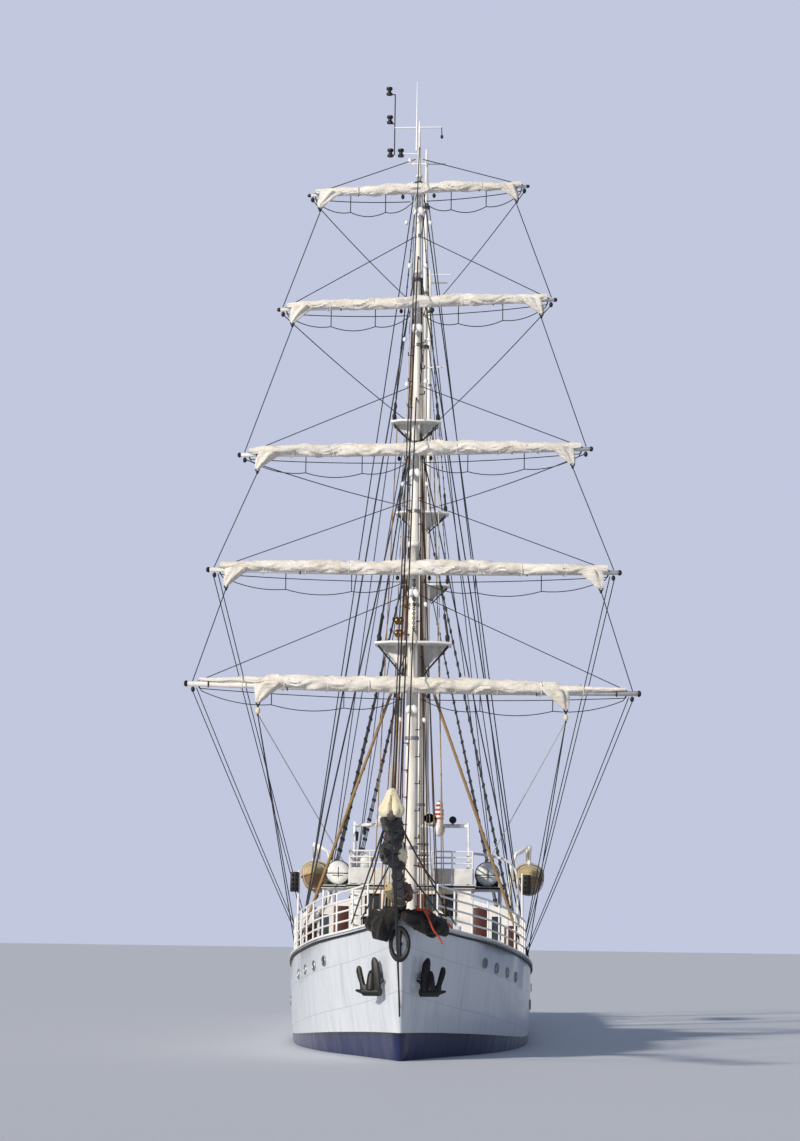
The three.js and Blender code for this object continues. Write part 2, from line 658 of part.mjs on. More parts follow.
/** The lamp gantry over the bridge, with its searchlight, lamp stack, dome and box. */
function lampGantry() {
  const half = 1.8;
  const aft = 12.85;
  const beam = 6.81;
  return join(
    [-half, half].map((x) => bar(place(x, aft, ROOF_TOP - 0.02), place(x, aft, beam + 0.1), 0.065, 0.055, 6)),
    bar(place(-half, aft, beam), place(half, aft, beam), 0.06, 0.06, 6),
    bar(place(0.55, aft, beam), place(0.55, aft, beam + 0.1), 0.03, 0.03, 6),
    bar(place(0.55, aft - 0.18, beam + 0.22), place(0.55, aft + 0.16, beam + 0.22), 0.2, 0.16, 10),
    bar(place(0.87, aft, beam - 0.12), place(0.87, aft, beam + 0.5), 0.13, 0.13, 8),
    bar(place(0.87, aft, beam + 0.5), place(0.87, aft, beam + 0.78), 0.06, 0.06, 6),
    turned([[0, -0.2], [0.14, -0.15], [0.2, 0], [0.2, 0.08], [0, 0.08]], 10)
      .translate(place(0.87, aft, beam - 0.14).toArray()),
    box([-1.14, aft - 0.12, beam - 0.02], [-0.9, aft + 0.12, beam + 0.3]),
  );
}

/** The dome aerial on its pedestal. */
function radome() {
  const rows = [
    [0, 0], [0.14, 0], [0.1, 0.06], [0.1, 0.42], [0.26, 0.5], [0.27, 0.78], [0.2, 0.95], [0, 1.02],
  ];
  return turned(rows, 12).translate(place(-1.48, 13.1, ROOF_TOP + SEAT_GAP).toArray());
}

/** A life raft drum in its cradle. */
function lifeRaft(side) {
  const half = RAFT.length / 2;
  const rows = [
    [0, -half], [0.22, -half], [RAFT.radius, -half + 0.2], [RAFT.radius, -0.03],
    [RAFT.radius + 0.02, -0.03], [RAFT.radius + 0.02, 0.03], [RAFT.radius, 0.03],
    [RAFT.radius, half - 0.2], [0.22, half], [0, half],
  ];
  const drum = turned(rows, 12).rotate([90, 0, 0]).translate(place(RAFT.across, RAFT.aft, RAFT.height).toArray());
  const saddles = [-0.35, 0.35].map((step) => box(
    [RAFT.across - 0.34, RAFT.aft + step - 0.04, ROOF_TOP - 0.02],
    [RAFT.across + 0.34, RAFT.aft + step + 0.04, RAFT.height - 0.18],
  ));
  return mirrorX(join(drum, saddles), side);
}

/** A covered boat in its davits. */
function coveredBoat(side) {
  const rows = [
    // share of the length from amidships, half-breadth, keel lift, gunwale, cover ridge
    [-0.5, 0.05, 0.42, 0.86, 0.92],
    [-0.42, 0.3, 0.2, 0.8, 1.0],
    [-0.25, 0.5, 0.04, 0.76, 1.16],
    [0, 0.57, 0, 0.74, 1.24],
    [0.25, 0.53, 0.03, 0.75, 1.14],
    [0.42, 0.44, 0.1, 0.78, 0.98],
    [0.5, 0.34, 0.2, 0.8, 0.86],
  ];
  const rings = rows.map(([share, half, lift, gunwale, ridge]) => {
    const section = [
      [0, ridge], [half * 0.55, (ridge + gunwale) / 2 + 0.08], [half, gunwale], [half * 0.96, gunwale * 0.6 + lift * 0.4],
      [half * 0.62, lift + 0.1], [0, lift], [-half * 0.62, lift + 0.1],
      [-half * 0.96, gunwale * 0.6 + lift * 0.4], [-half, gunwale], [-half * 0.55, (ridge + gunwale) / 2 + 0.08],
    ];
    return section.map(([x, z]) => place(
      side * BOAT.across + x, BOAT.aft + share * BOAT.length, BOAT.keel + z,
    ));
  });
  return loft(rings);
}

/** The two davits of a boat, tied by a span bar, with their falls. */
function davits(side) {
  const foot = side * 3.5;
  const stations = [BOAT.aft - 1.45, BOAT.aft + 1.35];
  const arms = stations.map((aft) => pipe([
    place(foot, aft, sheer(aft) - 0.1), place(foot, aft, 5.3), place(foot + side * 0.06, aft, 6.3),
    place(foot + side * 0.4, aft, 6.86), place(side * BOAT.across, aft, 6.92),
  ], 0.07, 8, 6));
  const falls = stations.map((aft) => bar(
    place(side * BOAT.across, aft, 6.95), place(side * BOAT.across, aft, 5.8), 0.035, 0.035, 4,
  ));
  const span = bar(place(foot, stations[0], 4.3), place(foot, stations[1], 4.3), 0.04, 0.04, 4);
  return join(arms, falls, span);
}

/** A mast's radius at a height. */
function radiusAt(rows, height) {
  const above = rows.findIndex(([z]) => z >= height);
  const [low, radius] = rows[above - 1];
  const [high, nextRadius] = rows[above];
  return radius + ((nextRadius - radius) * (height - low)) / (high - low);
}

/** A mast's pole: radius at each height, from the deck up. */
function pole(aft, rows, sides = 12) {
  const turnedRows = [[0, rows[0][0]], ...rows.map(([z, radius]) => [radius, z]), [0, rows.at(-1)[0]]];
  return turned(turnedRows, sides).translate([0, yOf(aft), 0]);
}

/** A platform round a mast, carried by curved knees. */
function mastTop(aft, height, half, forward, after, kneeDrop) {
  const outline = [
    [-half * 0.6, aft - forward], [half * 0.6, aft - forward], [half, aft - forward * 0.2],
    [half, aft + after], [-half, aft + after], [-half, aft - forward * 0.2],
  ];
  const knees = [1, -1].map((side) => bulkhead([
    [0.02 * side, height], [half * 0.95 * side, height], [half * 0.8 * side, height - kneeDrop * 0.15],
    [half * 0.45 * side, height - kneeDrop * 0.5], [0.1 * side, height - kneeDrop],
  ], aft + after * 0.4, aft + after * 0.4 + 0.06));
  const cheeks = [1, -1].map((side) => profile(
    [[aft - forward * 0.8, height], [aft + after * 0.8, height], [aft, height - kneeDrop * 0.6]],
    side * 0.12 - 0.03, side * 0.12 + 0.03,
  ));
  return join(plate(outline, height, height + 0.08), knees, cheeks);
}

/** The bracket and the upright pin that carry a yard. */
function yardBracket(height) {
  const pivot = FOREMAST_AT - TRUSS_PIVOT;
  const top = height - TRUSS_HALF_HEIGHT;
  return join(
    box([-0.06, pivot, top - 0.1], [0.06, FOREMAST_AT, top]),
    bar(place(0, pivot, top - 0.1), place(0, pivot, top), 0.1, 0.1, 10),
    bar(place(0, pivot, top - 0.05), place(0, pivot, height + TRUSS_HALF_HEIGHT), TRUSS_PIN, TRUSS_PIN, 10),
  );
}

/** The foremast with its top, cap, crosstrees and yard brackets. */
function foremast() {
  const bands = [[FORE_CAP, 0.21, 0.16], [24.4, 0.14, 0.1], [27.6, 0.11, 0.08]].map(
    ([z, radius, tall]) => bar(place(0, FOREMAST_AT, z), place(0, FOREMAST_AT, z + tall), radius, radius, 10),
  );
  return join(
    pole(FOREMAST_AT, FOREMAST_ROWS), bands,
    mastTop(FOREMAST_AT, FORE_TOP, 1.18, 0.35, 0.85, 1.1),
    mastTop(FOREMAST_AT, CROSSTREES, 0.77, 0.25, 0.6, 0.5),
    YARDS.map(([, height]) => yardBracket(height)),
  );
}

/** The gooseneck bracket and pin that carry a boom. */
function gooseneck(mastAt, height) {
  const pivot = mastAt + BOOM_PIVOT;
  return join(
    box([-0.07, mastAt, height - 0.2], [0.07, pivot, height - 0.1]),
    bar(place(0, pivot, height - 0.2), place(0, pivot, height - 0.1), 0.11, 0.11, 10),
    bar(place(0, pivot, height - 0.15), place(0, pivot, height + 0.1), TRUSS_PIN, TRUSS_PIN, 10),
  );
}

/** The mainmast or the mizzenmast, with its top and gooseneck. */
function boomMast(mastAt, rows, topHeight, boomHeight) {
  const [crown] = rows.at(-1);
  return join(
    pole(mastAt, rows),
    mastTop(mastAt, topHeight, 0.95, 0.3, 0.6, 0.7),
    gooseneck(mastAt, boomHeight),
    bar(place(-0.72, mastAt, crown - 0.55), place(0.72, mastAt, crown - 0.55), 0.035, 0.035, 6),
  );
}

/** The tapered spar of a yard, grown by a thickness to cut a seat for its sail. */
function yardSpar([, height, length, radius, slope], grow) {
  const half = length / 2;
  const end = radius * 0.55 + grow;
  const middle = radius + grow;
  const rows = [
    [0, -half], [end, -half], [middle, -half * 0.35], [middle, half * 0.35], [end, half], [0, half],
  ];
  const forward = FOREMAST_AT - TRUSS_PIVOT - TRUSS_ARM;
  return turned(rows, 8)
    .rotate([0, 90, 0])
    .rotate([0, (-Math.atan(slope) * 180) / Math.PI, 0])
    .translate(place(0, forward, height).toArray());
}

/** A yard with its truss arm, bored for the pin. */
function yard(row) {
  const [, height] = row;
  const pivot = FOREMAST_AT - TRUSS_PIVOT;
  const low = height - TRUSS_HALF_HEIGHT + SEAT_GAP;
  const arm = join(
    box([-0.05, pivot - TRUSS_ARM, low], [0.05, pivot, height + 0.05]),
    bar(place(0, pivot, low), place(0, pivot, height + 0.06), 0.1, 0.1, 10),
  );
  const bore = bar(place(0, pivot, low - 1), place(0, pivot, height + 1), PIN_BORE, PIN_BORE, 10);
  return join(yardSpar(row, 0), arm).subtract(bore);
}

/** A furled square sail on the forward side of its yard, with its clews hanging. */
function furledSquareSail(row) {
  const [, height, length, radius, slope, thick] = row;
  const half = length * 0.45;
  const rows = [
    [0, -half], [thick * 0.35, -half], [thick * 0.62, -half * 0.9], [thick * 0.72, -half * 0.45],
    [thick, 0], [thick * 0.72, half * 0.45], [thick * 0.62, half * 0.9], [thick * 0.35, half], [0, half],
  ];
  const roll = turned(rows, 8).rotate([0, 90, 0]);
  const clews = [1, -1].map((side) => bar(
    vector(side * half * 0.86, -0.02, -0.02), vector(side * half * 0.94, 0, -0.12 - thick * 2.2),
    thick * 0.5, thick * 0.16, 6,
  ));
  const forward = FOREMAST_AT - TRUSS_PIVOT - TRUSS_ARM - radius - thick * 0.45;
  const sail = join(roll, clews)
    .rotate([0, (-Math.atan(slope) * 180) / Math.PI, 0])
    .translate(place(0, forward, height + radius * 0.5).toArray());
  return largest(sail.subtract(yardSpar(row, SEAT_GAP)));
}

/** The tapered spar of a boom, grown by a thickness to cut a seat for its sail. */
function boomSpar([, mastAt, height, length], grow) {
  const start = mastAt + BOOM_PIVOT;
  const middle = place(0, start + length * 0.5, height + 0.12);
  return join(
    bar(place(0, start, height), middle, 0.09 + grow, 0.15 + grow, 10),
    bar(middle, place(0, start + length, height + 0.24), 0.15 + grow, 0.09 + grow, 10),
  );
}

/** A fore-and-aft boom with its yoke, bored for the gooseneck pin. */
function boom(row) {
  const [, mastAt, height] = row;
  const pivot = mastAt + BOOM_PIVOT;
  const low = height - 0.1 + SEAT_GAP;
  const yoke = bar(place(0, pivot, low), place(0, pivot, height + 0.07), 0.11, 0.11, 10);
  const bore = bar(place(0, pivot, low - 1), place(0, pivot, height + 1), PIN_BORE, PIN_BORE, 10);
  return join(boomSpar(row, 0), yoke).subtract(bore);
}

/** A furled fore-and-aft sail stowed along the top of its boom. */
function furledBoomSail(row) {
  const [, mastAt, height, length] = row;
  const start = mastAt + BOOM_PIVOT + 0.25;
  const sections = [
    // share of the boom, half-width, sag below the boom's axis, height above it
    [0, 0.16, 0.0, 0.95], [0.08, 0.22, 0.02, 0.72], [0.3, 0.26, 0.05, 0.56],
    [0.6, 0.24, 0.04, 0.46], [0.85, 0.18, 0.0, 0.34], [0.93, 0.1, -0.04, 0.22],
  ];
  const rings = sections.map(([share, half, sag, rise]) => {
    const aft = start + share * (length - 0.3);
    const axis = height + 0.24 * share;
    const outline = [
      [0, rise], [half * 0.7, rise * 0.8], [half, rise * 0.35], [half * 0.85, -sag],
      [-half * 0.85, -sag], [-half, rise * 0.35], [-half * 0.7, rise * 0.8],
    ];
    return outline.map(([x, z]) => place(x, aft, axis + z));
  });
  return largest(loft(rings).subtract(boomSpar(row, SEAT_GAP)));
}

/** One half of a band round a mast. The starboard half carries the stays on the centreline. */
function halfBand(side, mastAt, mastRows, height) {
  const skin = radiusAt(mastRows, height - BAND_HALF);
  const bore = (skin + SEAT_GAP) / Math.cos(Math.PI / 12);
  const outside = skin + BAND_THICKNESS;
  const ring = bar(
    place(0, mastAt, height - BAND_HALF), place(0, mastAt, height + BAND_HALF), outside, outside, 12,
  ).subtract(bar(place(0, mastAt, height - 1), place(0, mastAt, height + 1), bore, bore, 12));
  const edge = BAND_JOINT + (side * SEAT_GAP) / 2;
  return ring.intersect(box([edge, mastAt - 1, height - 1], [side, mastAt + 1, height + 1]));
}

/** One side's lower shrouds and backstays, joined by a channel bar that follows the rail. */
function shrouds(side, mastAt, mastRows, [hounds, firstAft, count, spacing], backstays) {
  const skin = radiusAt(mastRows, hounds - 0.1) + SEAT_GAP;
  const hound = place(side * 0.27, mastAt + 0.12, hounds);
  const foot = (aft) => place(side * (halfBreadth(aft) - BULWARK_THICKNESS / 2), aft, sheer(aft) + 0.02);
  const shroudFeet = Array.from({ length: count }, (_, i) => firstAft + spacing * i);
  const wires = shroudFeet.map((aft) => bar(foot(aft), hound, WIRE, WIRE, 4));
  const collar = box([side * skin, mastAt - 0.04, hounds - 0.06], [side * 0.32, mastAt + 0.2, hounds + 0.06]);
  const upper = backstays.flatMap(([height, feet]) => {
    const across = side * (radiusAt(mastRows, height) + BAND_THICKNESS / 2);
    const head = (i) => place(across, mastAt + BAND_SPREAD * (i - 0.5), height);
    const hung = feet.map((aft, i) => bar(foot(aft), head(i), WIRE, WIRE, 4));
    return [halfBand(side, mastAt, mastRows, height), ...hung];
  });
  const [, lastFeet] = backstays.at(-1);
  const channels = [[firstAft, shroudFeet.at(-1)], [shroudFeet.at(-1) - CHANNEL_LAP, lastFeet.at(-1)]];
  return join(wires, collar, upper, channels.map(([from, to]) => bar(foot(from), foot(to), 0.06, 0.06, 4)));
}

/** A stay between two points, cut to rest on what carries its upper and its lower end. */
function stay([from, to, upper, lower]) {
  const down = to.clone().sub(from);
  const hung = seat(bar(from, to, WIRE, WIRE, 6), [upper], down.toArray());
  return seat(hung, [lower], down.negate().toArray());
}

/** The rudder blade on its stock. */
function rudder() {
  const low = SOLE_TOP + 0.03 + SEAT_GAP;
  const outline = [
    [39.05, low + 0.25], [39.5, low], [40.5, low + 0.05], [40.75, -3.1], [40.7, -1.1], [39.75, -0.72], [39.3, -0.95],
  ];
  const blade = profile(outline, -0.09, 0.09);
  const foot = bar(place(0, RUDDER_STOCK, low), place(0, RUDDER_STOCK, low + 0.3), 0.12, 0.12, 12);
  const stock = bar(place(0, RUDDER_STOCK, -3.0), place(0, RUDDER_STOCK, 0.6), 0.12, 0.12, 24);
  return join(blade, foot, stock);
}

/** A four-bladed propeller. */
function propeller() {
  const outline = new THREE.Shape();
  outline.absellipse(0, PROPELLER.radius * 0.56, 0.24, PROPELLER.radius * 0.44, 0, 2 * Math.PI);
  const blades = [0, 90, 180, 270].map((angle) => solidOf(
    new THREE.ExtrudeGeometry(outline, { depth: 0.05, bevelEnabled: false, curveSegments: 7 })
      .translate(0, 0, -0.025).rotateY(0.75).rotateX(Math.PI / 2),
  ).rotate([0, angle, 0]));
  const hub = bar(vector(0, -0.25 + SEAT_GAP, 0), vector(0, 0.28, 0), 0.17, 0.09, 12);
  return join(hub, blades).translate(place(0, PROPELLER.aft, PROPELLER.height).toArray());
}

/** The spoked steering wheel. */
function steeringWheel() {
  const rim = solidOf(new THREE.TorusGeometry(HELM.radius * 0.78, 0.035, 4, 16).rotateX(Math.PI / 2));
  const spokes = Array.from({ length: 8 }, (_, i) => {
    const turn = (Math.PI * i) / 4;
    return bar(vector(0, 0, 0), vector(HELM.radius * Math.cos(turn), 0, HELM.radius * Math.sin(turn)), 0.03, 0.022, 4);
  });
  const hub = bar(vector(0, -0.1 + SEAT_GAP, 0), vector(0, 0.08, 0), 0.09, 0.07, 8);
  return join(rim, spokes, hub).translate(place(0, HELM.aft, HELM.height).toArray());
}

/** The lid of the companion hatch, with its hinge barrels beside the coaming's. */
function hatchLid() {
  const low = HATCH.height + SEAT_GAP;
  const axis = HATCH.height + HATCH.lid / 2;
  const barrels = [-0.35, 0.35].flatMap((x) => [
    bar(place(x + SEAT_GAP, HATCH.aft - 0.05, axis), place(x + 0.1, HATCH.aft - 0.05, axis), 0.03, 0.03, 8),
    box([x + SEAT_GAP, HATCH.aft - 0.05, axis - 0.02], [x + 0.1, HATCH.aft + 0.05, axis + 0.02]),
  ]);
  const board = box(
    [-HATCH.half + 0.01, HATCH.aft + 0.04, low],
    [HATCH.half - 0.01, HATCH.aft + HATCH.length - 0.01, HATCH.height + HATCH.lid],
  );
  return join(board, barrels);
}

/** A mesh with one of the ship's colours. */
function mesh(name, solid, colour) {
  const [color, roughness, metalness] = COLOURS[colour];
  const material = new THREE.MeshStandardMaterial({ color, roughness, metalness });
  const made = new THREE.Mesh(geometryOf(solid), material);
  made.name = name;
  return made;
}

// Solids that others rest on
const body = hullBody(0);
const hullSolid = hull(body);
const bulwarks = { port: bulwark(body, 1), starboard: bulwark(body, -1) };
const walls = [houseFront(), houseAft(), houseSide(1), houseSide(-1)].map(
  (wall) => seat(wall, [hullSolid], [0, 0, 1]),
);
const roof = seat(bridgeDeck(), [hullSolid, bulwarks.port, bulwarks.starboard], [0, 0, 1]);
const foreSolid = seat(foremast(), [hullSolid], [0, 0, 1]);
const mainSolid = seat(boomMast(MAINMAST_AT, MAINMAST_ROWS, MAIN_TOP, BOOMS[0][2]), [hullSolid], [0, 0, 1]);
const mizzenSolid = seat(
  boomMast(MIZZENMAST_AT, MIZZENMAST_ROWS, MIZZEN_TOP, BOOMS[1][2]), [hullSolid], [0, 0, 1],
);
const bowspritSolid = seat(bowsprit(), [hullSolid], [0, 0, 1]);
const headsailSolid = largest(furledHeadsails().subtract(bowsprit(SEAT_GAP)));

// Stays between the upper masts: from, to, what its upper end and its lower end rest against
const UPPER_STAYS = {
  main_shrouds: [
    [place(0, MAINMAST_AT, 25.0), place(0, FOREMAST_AT, 19.85), mainSolid, foreSolid],
    [place(0, MAINMAST_AT, 30.35), place(0, FOREMAST_AT, 25.1), mainSolid, foreSolid],
  ],
  mizzen_shrouds: [
    [place(0, MIZZENMAST_AT, 24.0), place(0, MAINMAST_AT, 19.5), mizzenSolid, mainSolid],
    [place(0, MIZZENMAST_AT, 29.2), place(0, MAINMAST_AT, 29.95), mizzenSolid, mainSolid],
    [place(0, MIZZENMAST_AT + 0.11, 29.2), place(0, 43.3, 2.0), mizzenSolid, hullSolid],
  ],
};

const ship = new THREE.Group();
ship.scale.setScalar(MM_PER_METRE);
ship.add(
  mesh('hull', hullSolid, 'hull'),
  mesh('house_front', walls[0], 'paint'),
  mesh('house_aft', walls[1], 'paint'),
  mesh('house_port', walls[2], 'paint'),
  mesh('house_starboard', walls[3], 'paint'),
  mesh('bridge_deck', roof, 'paint'),
  mesh('bridge_rail', seat(bridgeRail(), [roof], [0, 0, 1]), 'paint'),
  mesh('lamp_gantry', seat(lampGantry(), [roof], [0, 0, 1]), 'paint'),
  mesh('radome', radome(), 'paint'),
  mesh('foremast', foreSolid, 'mast'),
  mesh('mainmast', mainSolid, 'mast'),
  mesh('mizzenmast', mizzenSolid, 'mast'),
  mesh('bowsprit', bowspritSolid, 'dark'),
  mesh('furled_headsails', headsailSolid, 'sail'),
  mesh('windlass', seat(windlass(), [hullSolid], [0, 0, 1]), 'dark'),
  mesh('rudder', rudder(), 'hull'),
  mesh('propeller', propeller(), 'bronze'),
  mesh('steering_wheel', steeringWheel(), 'wood'),
  mesh('hatch_lid', hatchLid(), 'wood'),
);

Object.entries(mirrored).forEach(([name, side]) => {
  const boat = coveredBoat(side);
  ship.add(
    mesh(`bulwark_${name}`, bulwarks[name], 'hull'),
    mesh(`forecastle_rail_${name}`, seat(forecastleRail(side), [hullSolid], [0, 0, 1]), 'paint'),
    mesh(`anchor_${name}`, fitRound(anchor(side), [hullSolid]), 'dark'),
    mesh(`side_door_${name}`, houseDoor(side), 'maroon'),
    mesh(`wing_screen_${name}`, seat(
      wingScreen(side), [hullSolid, bulwarks[name]], [-side, 0, 1],
    ), 'paint'),
    mesh(`life_raft_${name}`, seat(lifeRaft(side), [roof], [0, 0, 1]), 'paint'),
    mesh(`boat_${name}`, boat, 'cover'),
    mesh(`davits_${name}`, seat(davits(side), [bulwarks[name], boat], [0, 0, 1]), 'paint'),
  );
  SHROUDS.forEach(([set, mastAt, rows, layout]) => {
    const fan = seat(shrouds(side, mastAt, rows, layout, BACKSTAYS[set]), [bulwarks[name]], [-side, 0, 1]);
    const centreline = side < 0 ? (UPPER_STAYS[set] ?? []).map(stay) : [];
    ship.add(mesh(`${set}_${name}`, join(fan, centreline), 'wire'));
  });
});

YARDS.forEach((row) => {
  ship.add(
    mesh(`${row[0]}_yard`, yard(row), 'paint'),
    mesh(`${row[0]}_sail`, furledSquareSail(row), 'sail'),
  );
});

BOOMS.forEach((row) => {
  ship.add(
    mesh(`${row[0]}_boom`, boom(row), 'mast'),
    mesh(`${row[0]}_sail`, furledBoomSail(row), 'sail'),
  );
});

const stays = [
  // name, then from, to, what its upper end and its lower end rest against
  ['fore_stay', [place(0, FOREMAST_AT, 13.0), place(0, 2.6, 3.4), foreSolid, hullSolid]],
  ['topmast_stay', [place(0, FOREMAST_AT, 20.4), onBowsprit(0.46), foreSolid, bowspritSolid]],
  ['topgallant_stay', [place(0, FOREMAST_AT, 25.0), onBowsprit(0.83), foreSolid, headsailSolid]],
  ['main_stay', [place(0, MAINMAST_AT, 18.3), place(0, FOREMAST_AT, 12.9), mainSolid, foreSolid]],
  ['mizzen_stay', [place(0, MIZZENMAST_AT, 17.2), place(0, MAINMAST_AT, 10.5), mizzenSolid, mainSolid]],
];
stays.forEach(([name, ends]) => ship.add(mesh(name, stay(ends), 'wire')));

export default ship;
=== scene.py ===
"""A three-masted barquentine with furled sails, as a 1:2 scale model.

The ship's sizes below are in metres of the full-size ship. at() turns them to the model's.
"""
import math
import random
from collections import namedtuple

import bpy
from mathutils import Matrix, Vector, noise


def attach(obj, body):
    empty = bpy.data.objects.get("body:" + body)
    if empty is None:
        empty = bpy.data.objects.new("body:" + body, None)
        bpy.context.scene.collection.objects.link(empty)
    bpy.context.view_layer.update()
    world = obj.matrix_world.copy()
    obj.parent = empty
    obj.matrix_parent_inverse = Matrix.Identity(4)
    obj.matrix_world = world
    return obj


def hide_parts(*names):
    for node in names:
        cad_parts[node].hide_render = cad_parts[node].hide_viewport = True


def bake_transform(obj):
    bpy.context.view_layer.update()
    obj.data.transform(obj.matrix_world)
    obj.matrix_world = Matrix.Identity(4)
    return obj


SCALE = 0.5
MIDSHIP = 22.0
FOREMAST = 11.2
MAINMAST = 23.5
MIZZENMAST = 34.5
SIDES = (("port", 1), ("starboard", -1))

# Yards, from the lowest up
Yard = namedtuple("Yard", "name height length radius slope thick clew lift_foot ties")
YARDS = (
    # name, height, length, radius, slope, sail's thickness, where the clews hang, foot of the lifts, gaskets
    Yard("course", 10.94, 14.1, 0.14, -0.012, 0.42, 0.72, 14.0, 10),
    Yard("lower_topsail", 14.63, 12.9, 0.125, 0.002, 0.39, 0.965, 17.0, 9),
    Yard("upper_topsail", 18.43, 11.1, 0.115, 0.026, 0.38, 0.95, 20.7, 8),
    Yard("topgallant", 23.2, 8.8, 0.095, 0.044, 0.34, 0.955, 25.6, 6),
    Yard("royal", 26.95, 7.0, 0.08, 0.05, 0.31, 0.955, 28.2, 5),
)
YARD_FORWARD = 0.66
# Half of a furled sail, as a share of its yard's length
SAIL_HALF = 0.47

# Booms
BOOMS = (
    # name, mast, height, length
    ("main", MAINMAST, 4.1, 7.3),
    ("mizzen", MIZZENMAST, 4.3, 7.4),
)
BOOM_PIVOT = 0.42

# Bowsprit's ends: aft and height
BOWSPRIT_HEEL = (1.8, 3.75)
BOWSPRIT_TIP = (-9.0, 6.05)

# Deckhouse
ROOF = 4.94
HOUSE_HALF = 1.9
HOUSE_FRONT = 12.6
HOUSE_AFT = 20.4

# Height of the deck edge amidships, and its rise to each end as an amount and a power
DECK_EDGE = 2.1
SHEER_FORE = (1.75, 1.4)
SHEER_AFT = (1.0, 1.6)
BULWARK = 0.9
# How far the stem leans forward over its height, and the length of hull that leans with it
STEM_RAKE = 1.7
RAKED_LENGTH = 9
LENGTH = 44

# Hull sections: aft, half-breadth at the deck edge, height of the bottom, power of the curve
SECTIONS = (
    (0.0, 0.08, -0.7, 1.6), (1.6, 0.64, -2.1, 1.8), (3.7, 1.5, -2.8, 2.0), (5.9, 2.46, -3.05, 2.2),
    (8.2, 3.06, -3.15, 2.5), (10.6, 3.5, -3.2, 2.8), (14.0, 3.82, -3.2, 3.0), (19.0, 3.9, -3.2, 3.2),
    (26.0, 3.9, -3.2, 3.2), (31.0, 3.8, -2.85, 2.7), (35.0, 3.6, -2.1, 2.2), (38.5, 3.32, -1.05, 2.0),
    (41.2, 2.92, 0.05, 1.9), (43.0, 2.4, 0.85, 2.0), (44.0, 1.9, 1.35, 2.0),
)


def at(x, aft, z):
    """A place on the ship, in the model's metres."""
    return Vector((x, aft - MIDSHIP, z)) * SCALE


def sheer(aft):
    """Height of the deck edge."""
    rise, power = SHEER_FORE if aft < MIDSHIP else SHEER_AFT
    return DECK_EDGE + rise * (abs(aft - MIDSHIP) / MIDSHIP) ** power


def main_deck(aft):
    """Height of the main deck at the side."""
    return sheer(aft) - BULWARK


def section(aft):
    """Half-breadth, bottom and power of the hull at a distance aft, on a smooth line through the sections."""
    after = next((i for i, row in enumerate(SECTIONS) if row[0] >= aft), len(SECTIONS) - 1)
    after = max(after, 1)
    rows = [SECTIONS[min(max(after + step, 0), len(SECTIONS) - 1)] for step in (-2, -1, 0, 1)]
    gaps = [max(rows[i + 1][0] - rows[i][0], 0.01) for i in range(3)]
    share = (aft - rows[1][0]) / gaps[1]
    values = []
    for k in (1, 2, 3):
        slopes = [(rows[i + 1][k] - rows[i][k]) / gaps[i] for i in range(3)]
        start = end = slopes[1]
        if after > 1:
            start = (slopes[0] * gaps[1] + slopes[1] * gaps[0]) / (gaps[0] + gaps[1])
        if after < len(SECTIONS) - 1:
            end = (slopes[1] * gaps[2] + slopes[2] * gaps[1]) / (gaps[1] + gaps[2])
        bend = (start * (1 - share) - end * share + slopes[1] * (2 * share - 1)) * gaps[1]
        values.append(rows[1][k] + (rows[2][k] - rows[1][k]) * share + bend * share * (1 - share))
    return values


def half_breadth(aft):
    """Half-breadth of the deck edge."""
    return section(aft)[0]


def hull_side(aft, z, side=1, out=0.0):
    """A point on the plating at a height, moved out by a distance, and the way the plating faces."""
    def spot(s, height):
        down = 0.0
        for _ in range(6):
            base = s - STEM_RAKE * max(0, 1 - s / RAKED_LENGTH) * down
            half, bottom, power = section(min(max(base, 0), LENGTH))
            down = min(max((sheer(base) - height) / (sheer(base) - bottom), 0), 1)
        return Vector((side * half * (1 - down ** power) ** (1 / power), s, height))

    here = spot(aft, z)
    along = spot(aft + 0.2, z) - spot(aft - 0.2, z)
    up = spot(aft, z + 0.15) - spot(aft, z - 0.15)
    facing = along.cross(up).normalized()
    if facing.x * side < 0:
        facing.negate()
    moved = here + facing * out
    return at(moved.x, moved.y, moved.z), facing


# Finishes
def linear(hexa):
    """An sRGB hex colour as linear RGBA."""
    parts = [int(hexa[i:i + 2], 16) / 255 for i in (0, 2, 4)]
    return tuple(p / 12.92 if p <= 0.04045 else ((p + 0.055) / 1.055) ** 2.4 for p in parts) + (1.0,)


def add(tree, kind, inputs=(), **settings):
    """Adds a node with its settings, and its inputs as values or links."""
    made = tree.nodes.new("ShaderNode" + kind)
    for key, value in settings.items():
        setattr(made, key, value)
    for key, value in dict(inputs).items():
        if isinstance(value, bpy.types.NodeSocket):
            tree.links.new(value, made.inputs[key])
        else:
            made.inputs[key].default_value = value
    return made


def maths(tree, operation, *values):
    """The result of one sum on values or links."""
    return add(tree, "Math", enumerate(values), operation=operation).outputs[0]


def ranged(tree, value, low, high, start=0.0, end=1.0, **settings):
    """A value carried over from one range to another."""
    inputs = {"Value": value, "From Min": low, "From Max": high, "To Min": start, "To Max": end}
    return add(tree, "MapRange", inputs, **settings).outputs[0]


def mixture(tree, share, first, second):
    """A colour between two colours, which are hex values or links."""
    ends = [linear(end) if isinstance(end, str) else end for end in (first, second)]
    return add(tree, "Mix", {0: share, 6: ends[0], 7: ends[1]}, data_type="RGBA").outputs[2]


def stretched(tree, coords, scale):
    """Coordinates scaled along each axis."""
    return add(tree, "Mapping", {"Vector": coords, "Scale": scale}).outputs[0]


